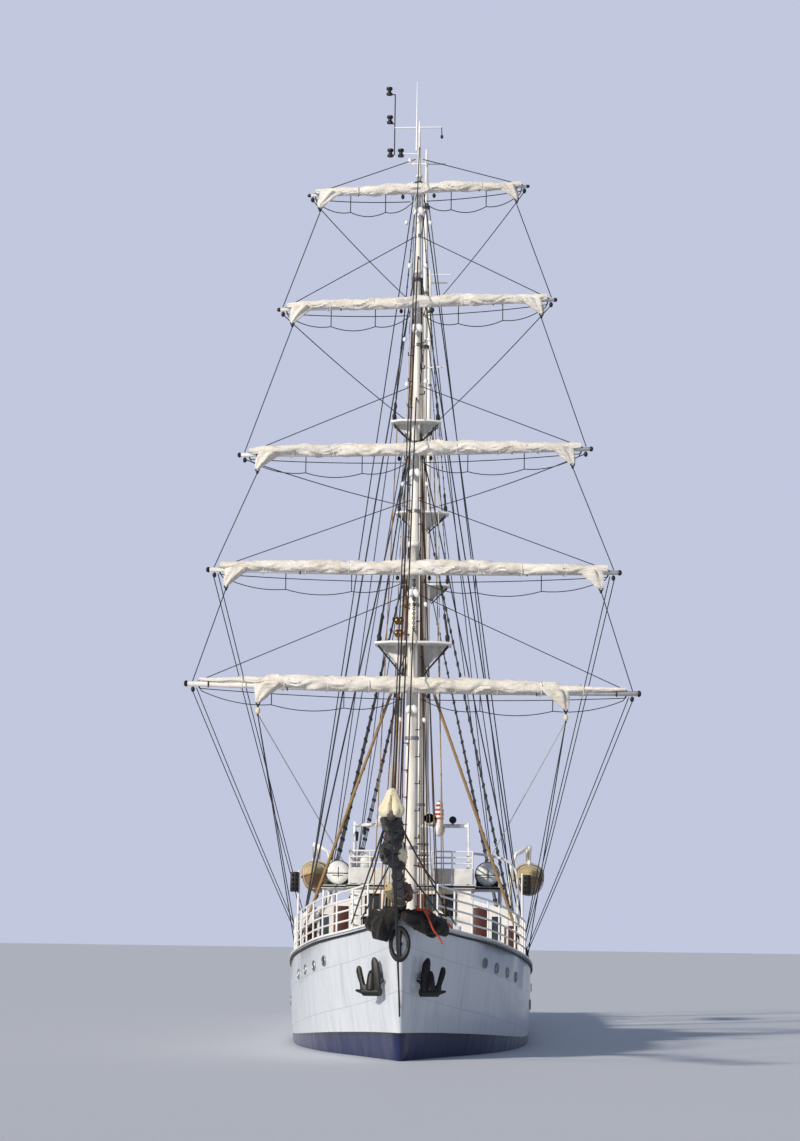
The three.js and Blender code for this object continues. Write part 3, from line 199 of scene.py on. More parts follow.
def clouds(tree, coords, scale, detail, roughness=0.5):
    """Soft noise between 0 and 1."""
    inputs = {"Vector": coords, "Scale": scale, "Detail": detail, "Roughness": roughness}
    return add(tree, "TexNoise", inputs).outputs["Fac"]


def blank(name):
    """A new material, its node tree, its surface and its coordinates."""
    made = bpy.data.materials.new(name)
    made.use_nodes = True
    tree = made.node_tree
    return made, tree, tree.nodes["Principled BSDF"], add(tree, "TexCoord").outputs["Object"]


def shade(tree, surface, colour, **values):
    """Gives a surface its colour and its other values."""
    tree.links.new(colour, surface.inputs["Base Color"])
    for key, value in values.items():
        surface.inputs[key.replace("_", " ")].default_value = value


def raise_up(tree, surface, height, strength, depth):
    """Bumps a surface by a height."""
    bump = add(tree, "Bump", {"Height": height, "Strength": strength, "Distance": depth})
    tree.links.new(bump.outputs[0], surface.inputs["Normal"])


def finish(name, colour, dirt, grain, amount=0.35, bump=0.1, stretch=(1, 1, 1), **values):
    """A surface of one colour with uneven dirt, a grain in metres and a bump of a sixth of that grain."""
    made, tree, surface, coords = blank(name)
    placed = stretched(tree, coords, stretch)
    dirt_and_painted_shade = ranged(tree, clouds(tree, placed, 1 / grain, 6.0, 0.6), 0.4, 0.75, 0.0, amount)
    shade(tree, surface, mixture(tree, dirt_and_painted_shade, colour, dirt), **values)
    raise_up(tree, surface, clouds(tree, placed, 6 / grain, 3.0), bump, 0.01)
    return made


# Hull plating, in the model's metres
STEM = -11.0
STRAKES_PER_METRE = 1.681
FIRST_STRAKE = 10.856
BUTTS_PER_METRE = 0.52
BUTT_SHIFT = 0.37
FIRST_BUTT = -10.3


def hull_paint():
    """Gloss enamel on welded steel plates: white above a blue boot-top, with seams and dirt runs."""
    made, tree, surface, coords = blank("hull_enamel")
    split = add(tree, "SeparateXYZ", {0: coords}).outputs
    height = split["Z"]
    along = split["Y"]
    # The boot-top rises towards the stem and ends in a dark line
    edge = ranged(tree, along, STEM, -4.0, 0.36, 0.12, interpolation_type="SMOOTHSTEP")
    over = maths(tree, "SUBTRACT", height, edge)
    blue = ranged(tree, over, -0.004, 0.004, 1.0, 0.0)
    line = maths(tree, "COMPARE", over, 0.0, 0.022)
    # The strakes rise with the sheer
    fore = maths(tree, "POWER", ranged(tree, along, 0.0, STEM), 2.0)
    strake = maths(tree, "MULTIPLY_ADD", fore, -0.9, height)
    rows = maths(tree, "MULTIPLY_ADD", strake, STRAKES_PER_METRE, FIRST_STRAKE)
    seam = maths(tree, "COMPARE", maths(tree, "FRACT", rows), 0.0, 0.016)
    # Butt joints shift from strake to strake and stop short of the stem
    shift = maths(tree, "MULTIPLY", maths(tree, "FLOOR", rows), BUTT_SHIFT)
    butts = maths(tree, "MULTIPLY_ADD", along, BUTTS_PER_METRE, shift)
    butt_line = maths(tree, "COMPARE", maths(tree, "FRACT", butts), 0.5, 0.004)
    butt = maths(tree, "MULTIPLY", butt_line, maths(tree, "GREATER_THAN", along, FIRST_BUTT))
    joints = maths(tree, "MAXIMUM", seam, butt)
    # Dirt runs down the plates in streaks, with scuffs between them
    streaks = clouds(tree, stretched(tree, coords, (3.0, 3.0, 0.22)), 2.2, 7.0, 0.65)
    streak = ranged(tree, streaks, 0.5, 0.8, 0.0, 0.5)
    scuff = ranged(tree, clouds(tree, coords, 5.0, 9.0, 0.75), 0.6, 0.72, 0.0, 0.5)
    white = mixture(tree, maths(tree, "MAXIMUM", streak, scuff), "d3d9df", "989fa8")
    plated = mixture(tree, joints, white, "b9c0c8")
    booted = mixture(tree, blue, plated, "06164a")
    shade(tree, surface, mixture(tree, line, booted, "101318"), Roughness=0.32, Coat_Weight=0.3)
    # Plates belly slightly between the frames
    belly = clouds(tree, stretched(tree, coords, (1.0, 2.6, 1.0)), 1.3, 1.5)
    raise_up(tree, surface, maths(tree, "MULTIPLY_ADD", joints, -0.12, belly), 0.55, 0.05)
    return made


def planks(name, light, dark, width):
    """Deck planks with dark caulked seams between them, a plank's width in metres."""
    made, tree, surface, coords = blank(name)
    across = add(tree, "SeparateXYZ", {0: coords}).outputs["X"]
    count = maths(tree, "MULTIPLY", across, 1 / width)
    caulk = maths(tree, "LESS_THAN", maths(tree, "PINGPONG", maths(tree, "FRACT", count), 0.5), 0.06)
    number = maths(tree, "FLOOR", count)
    tone = add(tree, "TexWhiteNoise", {"W": number}, noise_dimensions="1D").outputs["Value"]
    fibres = clouds(tree, stretched(tree, coords, (60.0, 3.0, 60.0)), 1.0, 4.0)
    wood = mixture(tree, maths(tree, "MULTIPLY", tone, fibres), light, dark)
    shade(tree, surface, mixture(tree, caulk, wood, "1d1a17"), Roughness=0.6)
    raise_up(tree, surface, fibres, 0.2, 0.004)
    return made


def canvas(name, colour, shadow, weave):
    """Woven canvas with soft creases, painted shade in soft blotches of the shadow colour, and a weave of a
    spacing in metres.
    """
    made, tree, surface, coords = blank(name)
    # Painted shade: soft blotches of the shadow colour over the canvas
    dirt_and_painted_shade = ranged(tree, clouds(tree, coords, 2.4, 8.0, 0.7), 0.35, 0.75)
    shade(tree, surface, mixture(tree, dirt_and_painted_shade, colour, shadow), Roughness=0.9, Sheen_Weight=0.15)
    threads = [add(tree, "TexWave", {"Vector": coords, "Scale": 0.3 / weave, "Distortion": 0.3},
                   bands_direction=way).outputs["Fac"] for way in ("X", "Z")]
    creases = clouds(tree, stretched(tree, coords, (1.6, 6.0, 9.0)), 2.5, 5.0)
    cloth = maths(tree, "MULTIPLY_ADD", maths(tree, "MULTIPLY", *threads), 0.1, creases)
    raise_up(tree, surface, cloth, 0.7, 0.03)
    return made


def banded(name, light, dark, width):
    """Paint in bands of two colours up and down, a band's width in metres."""
    made, tree, surface, coords = blank(name)
    height = add(tree, "SeparateXYZ", {0: coords}).outputs["Z"]
    share = maths(tree, "FRACT", maths(tree, "MULTIPLY", height, 0.5 / width))
    shade(tree, surface, mixture(tree, maths(tree, "LESS_THAN", share, 0.5), light, dark), Roughness=0.4)
    return made


def glass():
    """Dark tinted window glass, as a closed cabin shows from outside, with a painted reflection in lighter
    blotches.
    """
    made, tree, surface, coords = blank("window_glass")
    # Painted reflection: lighter blue-grey blotches on the dark glass
    painted_reflection = clouds(tree, coords, 1.6, 2.0)
    shade(tree, surface, mixture(tree, painted_reflection, "171c22", "4d5b68"), Roughness=0.06, Coat_Weight=0.5)
    return made


# The maker's steps
def alone(*objects):
    """Selects only these objects, the first of them active."""
    bpy.ops.object.select_all(action="DESELECT")
    for obj in objects:
        obj.select_set(True)
    bpy.context.view_layer.objects.active = objects[0]


def edit(obj, *steps):
    """Runs edit mode steps on all of a mesh."""
    alone(obj)
    bpy.ops.object.mode_set(mode="EDIT")
    bpy.ops.mesh.select_all(action="SELECT")
    for step in steps:
        step()
    bpy.ops.object.mode_set(mode="OBJECT")
    return obj


def weld(distance=1e-5):
    """A step that welds a mesh's vertices within a distance."""
    return lambda: bpy.ops.mesh.remove_doubles(threshold=distance)


def bevel(ease):
    """A step that eases a mesh's edges by a width in the ship's metres."""
    return lambda: bpy.ops.mesh.bevel(offset=ease * SCALE, segments=2)


def face_out():
    """A step that turns a mesh's faces outwards."""
    bpy.ops.mesh.normals_make_consistent(inside=False)


def turns(count):
    """The angles of equal steps round a full turn."""
    return [2 * math.pi * k / count for k in range(count)]


def shares(count):
    """The shares of equal steps from 0 to 1."""
    return [i / count for i in range(count + 1)]


def sheet_of(rings, closed=True):
    """A grid laid through rings of places. A ring of one repeated place closes an end."""
    across = len(rings[0]) if closed else len(rings[0]) - 1
    bpy.ops.object.select_all(action="DESELECT")
    bpy.ops.mesh.primitive_grid_add(x_subdivisions=across, y_subdivisions=len(rings) - 1, size=1)
    obj = bpy.context.object
    spots = []
    for loop in rings:
        spots.extend(loop)
        if closed:
            spots.append(loop[0])
    obj.data.vertices.foreach_set("co", [value for spot in spots for value in spot])
    return edit(obj, weld(), face_out)


def closed_ends(rings):
    """The rings with a ring of one repeated place at each end, which closes them."""
    middles = [sum(loop, Vector()) / len(loop) for loop in (rings[0], rings[-1])]
    return [[middles[0]] * len(rings[0]), *rings, [middles[1]] * len(rings[0])]


def thickened(sheet, thick, offset=0):
    """The sheet with a thickness in the ship's metres."""
    grown = sheet.modifiers.new("thickness", "SOLIDIFY")
    grown.thickness = thick * SCALE
    grown.offset = offset
    alone(sheet)
    bpy.ops.object.modifier_apply(modifier="thickness")
    return sheet


def turned(rows, foot, towards, sides=16):
    """A turned shape from rows of distance along an axis and radius, in the ship's metres."""
    axis = (towards - foot).normalized()
    cross = axis.orthogonal().normalized()
    other = axis.cross(cross)
    rings = []
    for distance, radius in rows:
        centre = foot + axis * distance * SCALE
        rings.append([centre + (cross * math.cos(turn) + other * math.sin(turn)) * radius * SCALE
                      for turn in turns(sides)])
    return sheet_of(rings)


def rod(start, end, radius, end_radius=None, sides=12):
    """A round rod with eased ends."""
    length = (end - start).length / SCALE
    last = radius if end_radius is None else end_radius
    ease = min(0.15 * radius, length / 4)
    rows = ((0, 0), (0, radius - ease), (ease, radius), (length - ease, last), (length, last - ease),
            (length, 0))
    return turned(rows, start, end, sides)


def block(low, high, ease=0.012):
    """A box between two corners on the ship, with its edges eased."""
    low, high = at(*low), at(*high)
    bpy.ops.object.select_all(action="DESELECT")
    bpy.ops.mesh.primitive_cube_add(size=1, location=(low + high) / 2)
    obj = bpy.context.object
    obj.scale = [abs(high[k] - low[k]) for k in range(3)]
    bpy.ops.object.transform_apply(location=True, rotation=True, scale=True)
    return edit(obj, bevel(ease))


def facing_to(way):
    """The rotation that turns an object's z axis to a direction."""
    return Vector(way).to_track_quat("Z", "Y").to_matrix().to_4x4()


def ring(centre, facing, radius, thick, sides=24, tube=8, tall=1.0):
    """A round or oval ring, tall times as high as it is wide."""
    bpy.ops.object.select_all(action="DESELECT")
    bpy.ops.mesh.primitive_torus_add(
        major_radius=radius * SCALE, minor_radius=thick * SCALE, major_segments=sides, minor_segments=tube)
    obj = bpy.context.object
    stretch = Matrix.Diagonal((1, tall, 1, 1))
    obj.data.transform(Matrix.Translation(centre) @ facing_to(facing) @ stretch)
    obj.matrix_world = Matrix.Identity(4)
    return obj


def strands(runs, thick, sides=1, cyclic=False):
    """Rope or wire laid through lists of places on the ship, as one tube for each run."""
    curve = bpy.data.curves.new("strands", "CURVE")
    curve.dimensions = "3D"
    curve.bevel_depth = thick / 2 * SCALE
    curve.bevel_resolution = sides
    curve.use_fill_caps = True
    for run in runs:
        spline = curve.splines.new("POLY")
        spline.points.add(len(run) - 1)
        spline.points.foreach_set("co", [value for spot in run for value in (*spot, 1.0)])
        spline.use_cyclic_u = cyclic
    obj = bpy.data.objects.new("strands", curve)
    bpy.context.scene.collection.objects.link(obj)
    alone(obj)
    bpy.ops.object.convert(target="MESH")
    return bpy.context.object


def piece(name, parts, body, material, smooth=35, bend=None):
    """Joins parts to one piece, which rides on a body, or is left on no body when two places to bend between
    are given.
    """
    alone(*parts)
    if len(parts) > 1:
        bpy.ops.object.join()
    obj = bpy.context.object
    bpy.ops.object.transform_apply(location=True, rotation=True, scale=True)
    obj.name = name
    obj.data.name = name
    obj.data.materials.clear()
    obj.data.materials.append(material)
    if smooth:
        bpy.ops.object.shade_smooth_by_angle(angle=math.radians(smooth))
    if bend:
        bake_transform(obj)
    else:
        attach(obj, body)
    return obj


def smoothed(node, name, body, material):
    """A welded copy of a CAD node with smooth curves, which stands for the node."""
    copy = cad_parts[node].copy()
    copy.data = copy.data.copy()
    copy.parent = None
    for key in list(copy.keys()):
        del copy[key]
    bpy.context.scene.collection.objects.link(copy)
    edit(copy, weld(2e-5))
    obj = piece(name, [copy], body, material)
    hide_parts(node)


def between(start, end, count, sag=0.0):
    """Places along a line, which sags by a depth in the ship's metres."""
    spots = []
    for share in shares(count):
        spot = start.lerp(end, share)
        spot.z -= sag * SCALE * 4 * share * (1 - share)
        spots.append(spot)
    return spots


def pulley(place, towards, size):
    """A rope block's shell, hanging from a place."""
    rows = ((0, 0), (0.1, 0.28), (0.5, 0.62), (1.0, 0.72), (1.5, 0.62), (1.9, 0.28), (2.0, 0))
    return turned([(d * size, r * size) for d, r in rows], place, place + towards, 10)


UP = Vector((0, 0, 1))
DOWN = -UP
AHEAD = Vector((0, -1, 0))


def above(place, lift):
    """The place moved up by a distance in the ship's metres."""
    return place + UP * lift * SCALE


# Frame
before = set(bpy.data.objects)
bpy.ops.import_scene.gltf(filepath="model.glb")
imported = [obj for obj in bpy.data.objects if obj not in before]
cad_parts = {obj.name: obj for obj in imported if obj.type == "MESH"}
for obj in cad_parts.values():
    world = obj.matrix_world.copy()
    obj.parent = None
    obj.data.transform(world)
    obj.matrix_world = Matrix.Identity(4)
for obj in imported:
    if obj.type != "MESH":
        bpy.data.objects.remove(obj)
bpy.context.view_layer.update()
random.seed(7)

# Camera: focal length in pixels of the photo, its turns, and its distance and height
PHOTO_HEIGHT = 1141
FOCAL = 2460.0
YAW = math.radians(1.49)
AIM = math.radians(0.112)
PITCH = math.radians(8.55)
ROLL = math.radians(0.8)
EYE_DISTANCE = 65.6
EYE_HEIGHT = 3.2
lens = bpy.data.cameras.new("camera")
lens.sensor_width = 36
lens.lens = FOCAL * lens.sensor_width / PHOTO_HEIGHT
lens.clip_end = 500
camera = bpy.data.objects.new("camera", lens)
bpy.context.scene.collection.objects.link(camera)
bpy.context.scene.camera = camera
eye = at(EYE_DISTANCE * math.sin(YAW), -EYE_DISTANCE * math.cos(YAW), EYE_HEIGHT)
level = Matrix.Rotation(YAW + AIM, 4, "Z") @ Matrix.Rotation(math.pi / 2 + PITCH, 4, "X")
camera.matrix_world = Matrix.Translation(eye) @ level @ Matrix.Rotation(ROLL, 4, "Z")

# Floor at the waterline
bpy.ops.object.select_all(action="DESELECT")
bpy.ops.mesh.primitive_plane_add(size=900, location=(0, 0, 0))
floor = bpy.context.object
floor.name = "floor"
floor_paint = finish("studio_floor", "d9dde4", "d4d9e0", 4.0, amount=0.2, bump=0.0, Roughness=0.75)
floor.data.materials.append(floor_paint)

# Light: a pale backdrop that only the camera sees, dimmer light from all round, and a sun ahead to starboard
world = bpy.data.worlds.new("studio")
bpy.context.scene.world = world
world.use_nodes = True
sky = world.node_tree
around = sky.nodes["Background"]
around.inputs["Color"].default_value = linear("bccbe8")
around.inputs["Strength"].default_value = 0.38
backdrop = add(sky, "Background", {"Color": linear("c6cde4"), "Strength": 0.95})
seen = add(sky, "LightPath").outputs["Is Camera Ray"]
either = add(sky, "MixShader", {0: seen, 1: around.outputs[0], 2: backdrop.outputs[0]})
sky.links.new(either.outputs[0], sky.nodes["World Output"].inputs["Surface"])
bpy.context.scene.view_settings.view_transform = "Standard"
sun = bpy.data.lights.new("key", "SUN")
sun.energy = 3.6
sun.angle = math.radians(4)
sun.color = linear("fff6ea")[:3]
key = bpy.data.objects.new("key", sun)
key.matrix_world = facing_to((-0.66, -0.8, 0.42))
bpy.context.scene.collection.objects.link(key)

# Finishes of the pieces
HULL = hull_paint()
WHITE = finish("white_enamel", "f4f5f4", "b9b6ab", 0.35, amount=0.45, bump=0.06, Roughness=0.35)
MAST = finish("mast_enamel", "f3f0e8", "a79f8f", 0.3, amount=0.6, bump=0.1, stretch=(4, 4, 0.5),
              Roughness=0.4)
YARD = finish("yard_enamel", "e8e7e3", "9b958a", 0.25, amount=0.5, bump=0.08, stretch=(0.6, 4, 4),
              Roughness=0.4)
GREY = finish("galvanised_steel", "9fa3a6", "6d7073", 0.05, amount=0.6, Roughness=0.45, Metallic=0.7)
BLACK = finish("black_iron", "0d0e10", "1d1b1a", 0.08, amount=0.35, bump=0.25, Roughness=0.5)
SPRIT = finish("weathered_grey_spar_paint", "56524d", "1f1d1c", 0.1, amount=0.9, bump=0.25,
               stretch=(7, 0.5, 3), Roughness=0.55)
MAROON = finish("maroon_paint", "4b211b", "2b1512", 0.12, amount=0.7, bump=0.1, Roughness=0.45)
MAHOGANY = finish("varnished_mahogany", "6e3a1f", "3b1d10", 0.04, amount=0.8, bump=0.05, stretch=(1, 1, 8),
                  Roughness=0.25)
TEAK = planks("laid_teak", "b59a74", "82684a", 0.06)
# The second colour of each canvas is painted shade
SAIL = canvas("sail_canvas", "f8f5ee", "d6cebd", 0.006)
CREAM = canvas("cream_hood_canvas", "f1e9cc", "c9b88c", 0.006)
COVER = canvas("boat_cover_canvas", "cdb98c", "a08a5b", 0.006)
DARK_CLOTH = canvas("dark_net_bundle", "1d1917", "0b0908", 0.01)
TARRED = finish("tarred_wire", "1b1c1f", "34322f", 0.03, amount=0.5, bump=0.4, Roughness=0.6)
WIRE = finish("galvanised_wire", "4a4d52", "2c2d30", 0.03, amount=0.5, bump=0.3, Roughness=0.5, Metallic=0.4)
MANILA = finish("manila_rope", "a88a5e", "6e5536", 0.02, amount=0.7, bump=0.6, Roughness=0.9)
LINE = finish("braided_white_line", "d9d6cc", "a39d8c", 0.02, amount=0.6, bump=0.5, Roughness=0.85)
RED_LINE = finish("brown_halyard", "7d4a35", "54301f", 0.02, amount=0.7, bump=0.5, Roughness=0.85)
ORANGE = finish("orange_rope", "d9532b", "9a3a20", 0.03, amount=0.5, bump=0.6, Roughness=0.8)
GRP = finish("white_glass_fibre", "f1f2f1", "c9c9c2", 0.4, amount=0.35, bump=0.03, Roughness=0.3,
             Coat_Weight=0.3)
BRONZE = finish("cast_bronze", "8d6a34", "4f3b20", 0.05, amount=0.7, bump=0.1, Roughness=0.35, Metallic=1.0)
GLASS = glass()
DARK_GLASS = finish("unlit_lens", "15181c", "0b0d10", 0.02, amount=0.4, bump=0.02, Roughness=0.12)
LAMP_GLASS = finish("lamp_lens", "b06a35", "7a3c20", 0.03, amount=0.4, bump=0.02, Roughness=0.15)
RED_BANDS = banded("red_and_white_paint", "f2f2f0", "b3322a", 0.035)
NETTING = finish("weather_cloth", "dfe1e0", "a9aba8", 0.1, amount=0.5, bump=0.3, Roughness=0.85)

# Welded copies of the CAD's own shapes
COPIES = (
    # node, name, body, material, slot
    ("hull", "hull_plating", "ship", HULL, "hull_paint"),
    ("bulwark_port", "bulwark_plating_port", "ship", HULL, "hull_paint"),
    ("bulwark_starboard", "bulwark_plating_starboard", "ship", HULL, "hull_paint"),
    ("foremast", "foremast_tubes", "ship", MAST, "mast_paint"),
    ("mainmast", "mainmast_tubes", "ship", MAST, "mast_paint"),
    ("mizzenmast", "mizzenmast_tubes", "ship", MAST, "mast_paint"),
    ("bowsprit", "bowsprit_tube", "ship", SPRIT, "black_paint"),
    ("course_yard", "course_yard_spar", "course", YARD, "mast_paint"),
    ("lower_topsail_yard", "lower_topsail_yard_spar", "lower_topsail", YARD, "mast_paint"),
    ("upper_topsail_yard", "upper_topsail_yard_spar", "upper_topsail", YARD, "mast_paint"),
    ("topgallant_yard", "topgallant_yard_spar", "topgallant", YARD, "mast_paint"),
    ("royal_yard", "royal_yard_spar", "royal", YARD, "mast_paint"),
    ("main_boom", "main_boom_spar", "main_boom", YARD, "mast_paint"),
    ("mizzen_boom", "mizzen_boom_spar", "mizzen_boom", YARD, "mast_paint"),
    ("radome", "radome_shell", "ship", GRP, "white_plastic"),
    ("davits_port", "davit_arms_port", "ship", WHITE, "white_paint"),
    ("davits_starboard", "davit_arms_starboard", "ship", WHITE, "white_paint"),
    ("lamp_gantry", "lamp_gantry_tubes", "ship", WHITE, "white_paint"),
    ("windlass", "windlass_casting", "ship", BLACK, "black_paint"),
    ("rudder", "rudder_blade", "rudder", HULL, "hull_paint"),
    ("propeller", "propeller_casting", "propeller", BRONZE, "bronze"),
    ("steering_wheel", "steering_wheel_wood", "steering_wheel", MAHOGANY, "varnished_wood"),
)
for node, name, body, material, slot in COPIES:
    smoothed(node, name, body, material)

# CAD nodes that stay, with their finish
KEPT = (
    (WHITE, ("house_front", "house_aft", "house_port", "house_starboard", "bridge_deck", "wing_screen_port",
             "wing_screen_starboard")),
    (MAROON, ("side_door_port", "side_door_starboard")),
    (MAHOGANY, ("hatch_lid",)),
)
for material, nodes in KEPT:
    for node in nodes:
        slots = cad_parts[node].material_slots
        for kept in slots:
            kept.material = material


# Furled sails
def crease(turn, along, seed):
    """How far a fold of furled canvas stands out of its roll, at a place round it and along it."""
    spot = Vector((along, 1.3 * math.cos(turn), 1.3 * math.sin(turn) + 7 * seed))
    large = abs(noise.noise(spot * 1.2))
    small = abs(noise.noise(spot * 3.3))
    return 0.75 * large ** 0.7 + 0.26 * small ** 0.7 - 0.26


def canvas_roll(spots, seed, ties=0, flat=1.0, sides=26, sag=0.0):
    """A roll of canvas along a line of places and half-thicknesses, drawn in where it is tied."""
    rings = []
    total = len(spots) - 1
    length = (spots[-1][0] - spots[0][0]).length / SCALE
    for i, (spot, half) in enumerate(spots):
        share = i / total
        held = abs(math.sin(math.pi * ties * share)) if ties else 1.0
        size = half * (0.84 + 0.16 * held ** 0.6)
        axis = (spots[min(i + 1, total)][0] - spots[max(i - 1, 0)][0]).normalized()
        cross = axis.cross(UP if abs(axis.z) < 0.9 else AHEAD).normalized()
        up = cross.cross(axis)
        centre = spot - UP * sag * held * SCALE
        wound = 0.6 * math.sin(2 * math.pi * ties * share + seed)
        loop = []
        for turn in turns(sides):
            reach = size * (1 + crease(turn + wound, share * length * 0.55, seed)) * SCALE
            loop.append(centre + (cross * math.cos(turn) * flat + up * math.sin(turn)) * reach)
        rings.append(loop)
    return sheet_of(closed_ends(rings))


def gathered(spots, seed):
    """A corner of canvas gathered in twisting folds, from rows of a place, a half-width and a half-depth."""
    rings = []
    for share, (centre, wide, deep) in zip(shares(len(spots) - 1), spots):
        loop = []
        for turn in turns(36):
            fold = 1 + 0.2 * math.sin(5 * turn + 2.6 * share + seed) + 0.5 * crease(turn, share, seed)
            out = Vector((math.cos(turn) * wide, math.sin(turn) * deep, 0))
            loop.append(centre + out * fold * SCALE)
        rings.append(loop)
    return sheet_of(closed_ends(rings))


# Yards with their sails and gear
COURSE = YARDS[0]
COURSE_FULL = 0.68
STIRRUPS = (
    # share of the yard's half, drop of the footrope
    (0.05, 0.25), (0.3, 0.55), (0.62, 0.5), (0.93, 0.12),
)


def tilted(yard, x, forward, lift):
    """A place beside a yard that slopes to one side."""
    return at(x, FOREMAST - YARD_FORWARD - forward, yard.height + x * yard.slope + lift)


def fullness(share):
    """How full a furled sail is at a share of its half."""
    return 0.52 + 0.48 * max(0.0, 1 - abs(share) ** 2.4)


def clew_at(yard, side, lift):
    """Where a clew hangs below its yard."""
    return tilted(yard, side * yard.length * SAIL_HALF * yard.clew, yard.radius, lift)


def clew_drop(number):
    """How far a clew hangs, which lessens from yard to yard."""
    return 0.6 - 0.03 * number


def furled_sail(number, yard):
    """The sail rolled along its yard, with its two clews."""
    half = yard.length * SAIL_HALF
    spots = []
    for step in shares(180):
        share = 2 * step - 1
        fat = fullness(share)
        if yard == COURSE and abs(share) > COURSE_FULL:
            fat = 0.56 - 1.1 * (abs(share) - COURSE_FULL)
        forward = yard.radius * 0.75 + 0.03 * math.sin(9 * share + number)
        lift = yard.radius * 0.95 + 0.02 * math.sin(6 * share)
        spots.append((tilted(yard, share * half, forward, lift), yard.thick * 0.5 * fat))
    rolls = [canvas_roll(spots, number * 1.3, yard.ties, flat=1.05, sag=0.02)]
    for side in (1, -1):
        tail = []
        for share in shares(21):
            left = 1 - share
            x = side * (half * yard.clew - 0.36 * left ** 1.2)
            wide = yard.thick * (0.74 * left ** 0.8 + 0.12)
            deep = yard.thick * (0.4 * left ** 0.7 + 0.1)
            place = tilted(yard, x, yard.radius + 0.04 * left, 0.04 - clew_drop(number) * share)
            tail.append((place, wide, deep))
        rolls.append(gathered(tail, number + 1.2 * side))
    sail = piece(yard.name + "_canvas", rolls, yard.name, SAIL, smooth=60)
    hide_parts(yard.name + "_sail")


def sail_gaskets(yard):
    """Gaskets that tie the roll to its yard."""
    loops = []
    for i in range(1, yard.ties):
        share = 2 * i / yard.ties - 1
        x = share * yard.length * SAIL_HALF + random.uniform(-0.04, 0.04)
        reach = yard.thick * 0.5 * fullness(share) * 0.74
        loop = []
        for turn in turns(18):
            upper = math.sin(turn) > -0.2
            wide = reach + 0.03 if upper else yard.radius * 1.15
            rise = yard.radius * 0.95 if upper else 0.0
            forward = yard.radius * 0.5 + wide * math.cos(turn) * 1.1
            loop.append(tilted(yard, x + 0.05 * math.cos(turn), forward, rise + wide * math.sin(turn)))
        loops.append(loop)
    piece(yard.name + "_gaskets", [strands(loops, 0.03, cyclic=True)], yard.name, LINE)


def yard_blocks(number, yard):
    """Shackles and blocks at the clews, the yardarms and the slings."""
    shells = []
    for side in (1, -1):
        low = clew_at(yard, side, 0.05 - clew_drop(number))
        shells.append(ring(low, (0, 1, 0), 0.06, 0.02, 14, 6, 1.2))
        for drop, size in ((0.05, 0.055), (0.34, 0.045)) if yard == COURSE else ((0.04, 0.06),):
            shells.append(pulley(above(low, -drop), DOWN, size))
        shells.append(pulley(tilted(yard, side * yard.length * 0.484, -0.02, -yard.radius * 0.6), DOWN, 0.09))
        shells.append(pulley(tilted(yard, side * 0.5, -0.05, -yard.radius), DOWN, 0.08))
    piece(yard.name + "_blocks", shells, yard.name, BLACK)


def yard_irons(yard):
    """Yardarm caps and bands."""
    radius = yard.radius
    cap = ((0, 0), (0, radius * 0.6), (0.02, radius * 0.7), (0.06, radius * 0.7), (0.1, radius * 0.45),
           (0.11, 0))
    metal = []
    for side in (1, -1):
        inner = tilted(yard, side * yard.length / 2 * 0.985, 0, 0)
        tip = tilted(yard, side * (yard.length / 2 + 0.05), 0, 0)
        metal.append(turned(cap, tip + (inner - tip).normalized() * 0.1 * SCALE, tip * 2 - inner, 14))
        for share, size in ((0.9, 0.72), (0.55, 1.0)):
            place = tilted(yard, side * yard.length / 2 * share, 0, 0)
            facing = tilted(yard, side * yard.length, 0, 0) - place
            metal.append(ring(place, facing, radius * size, 0.018, 16, 6))
    piece(yard.name + "_irons", metal, yard.name, BLACK)


def footropes(yard):
    """Footropes on their stirrups, and a line under the yard."""
    out = yard.length / 2
    ropes = []
    for side in (1, -1):
        feet = [tilted(yard, side * out * share, -0.05, -drop - 0.1) for share, drop in STIRRUPS]
        for start, end in zip(feet, feet[1:]):
            ropes.append(between(start, end, 8, 0.14))
        for (share, _), foot, shift in zip(STIRRUPS, feet, (0.015, 0, 0, 0.015)):
            ropes.append([tilted(yard, side * out * (share + shift), -0.02, -0.02), foot])
        outer = tilted(yard, side * out * 0.94, -0.03, -0.14)
        ropes.append([tilted(yard, side * out * 0.945, -0.02, -0.04), outer])
        ropes.append(between(outer, tilted(yard, side * 0.25, -0.03, -0.34), 8, 0.05))
    piece(yard.name + "_footropes", [strands(ropes, 0.03)], yard.name, TARRED)


for number, yard in enumerate(YARDS):
    furled_sail(number, yard)
    sail_gaskets(yard)
    yard_blocks(number, yard)
    yard_irons(yard)
    footropes(yard)

# Tacks, sheets and clew lines from the course's clews down to the ship
CLEW_LINES = (
    # name, material, foot: x, aft, height
    ("tack", TARRED, 3.55, 12.6, 3.05),
    ("sheet", TARRED, 3.72, 15.4, 2.45),
    ("clew_line", LINE, 1.96, 20.4, 4.96),
)
for label, side in SIDES:
    clew = clew_at(COURSE, side, -0.92)
    shell = pulley(above(clew, 0.22), DOWN, 0.11)
    piece(f"course_clew_block_{label}", [shell], "course", CREAM)
    for name, material, x, aft, height in CLEW_LINES:
        foot = at(side * x, aft, height)
        line = strands([between(clew, foot, 16)], 0.034)
        piece(f"course_{name}_{label}", [line], "course", material, bend=(foot, clew))

# Sheets from each upper sail's clews to the yardarms below
for low, high in zip(YARDS, YARDS[1:]):
    runs = [between(clew_at(high, side, -0.6), tilted(low, side * low.length * 0.485, 0.02, 0.08), 6)
            for side in (1, -1)]
    piece(high.name + "_sheets", [strands(runs, 0.032)], low.name, TARRED)

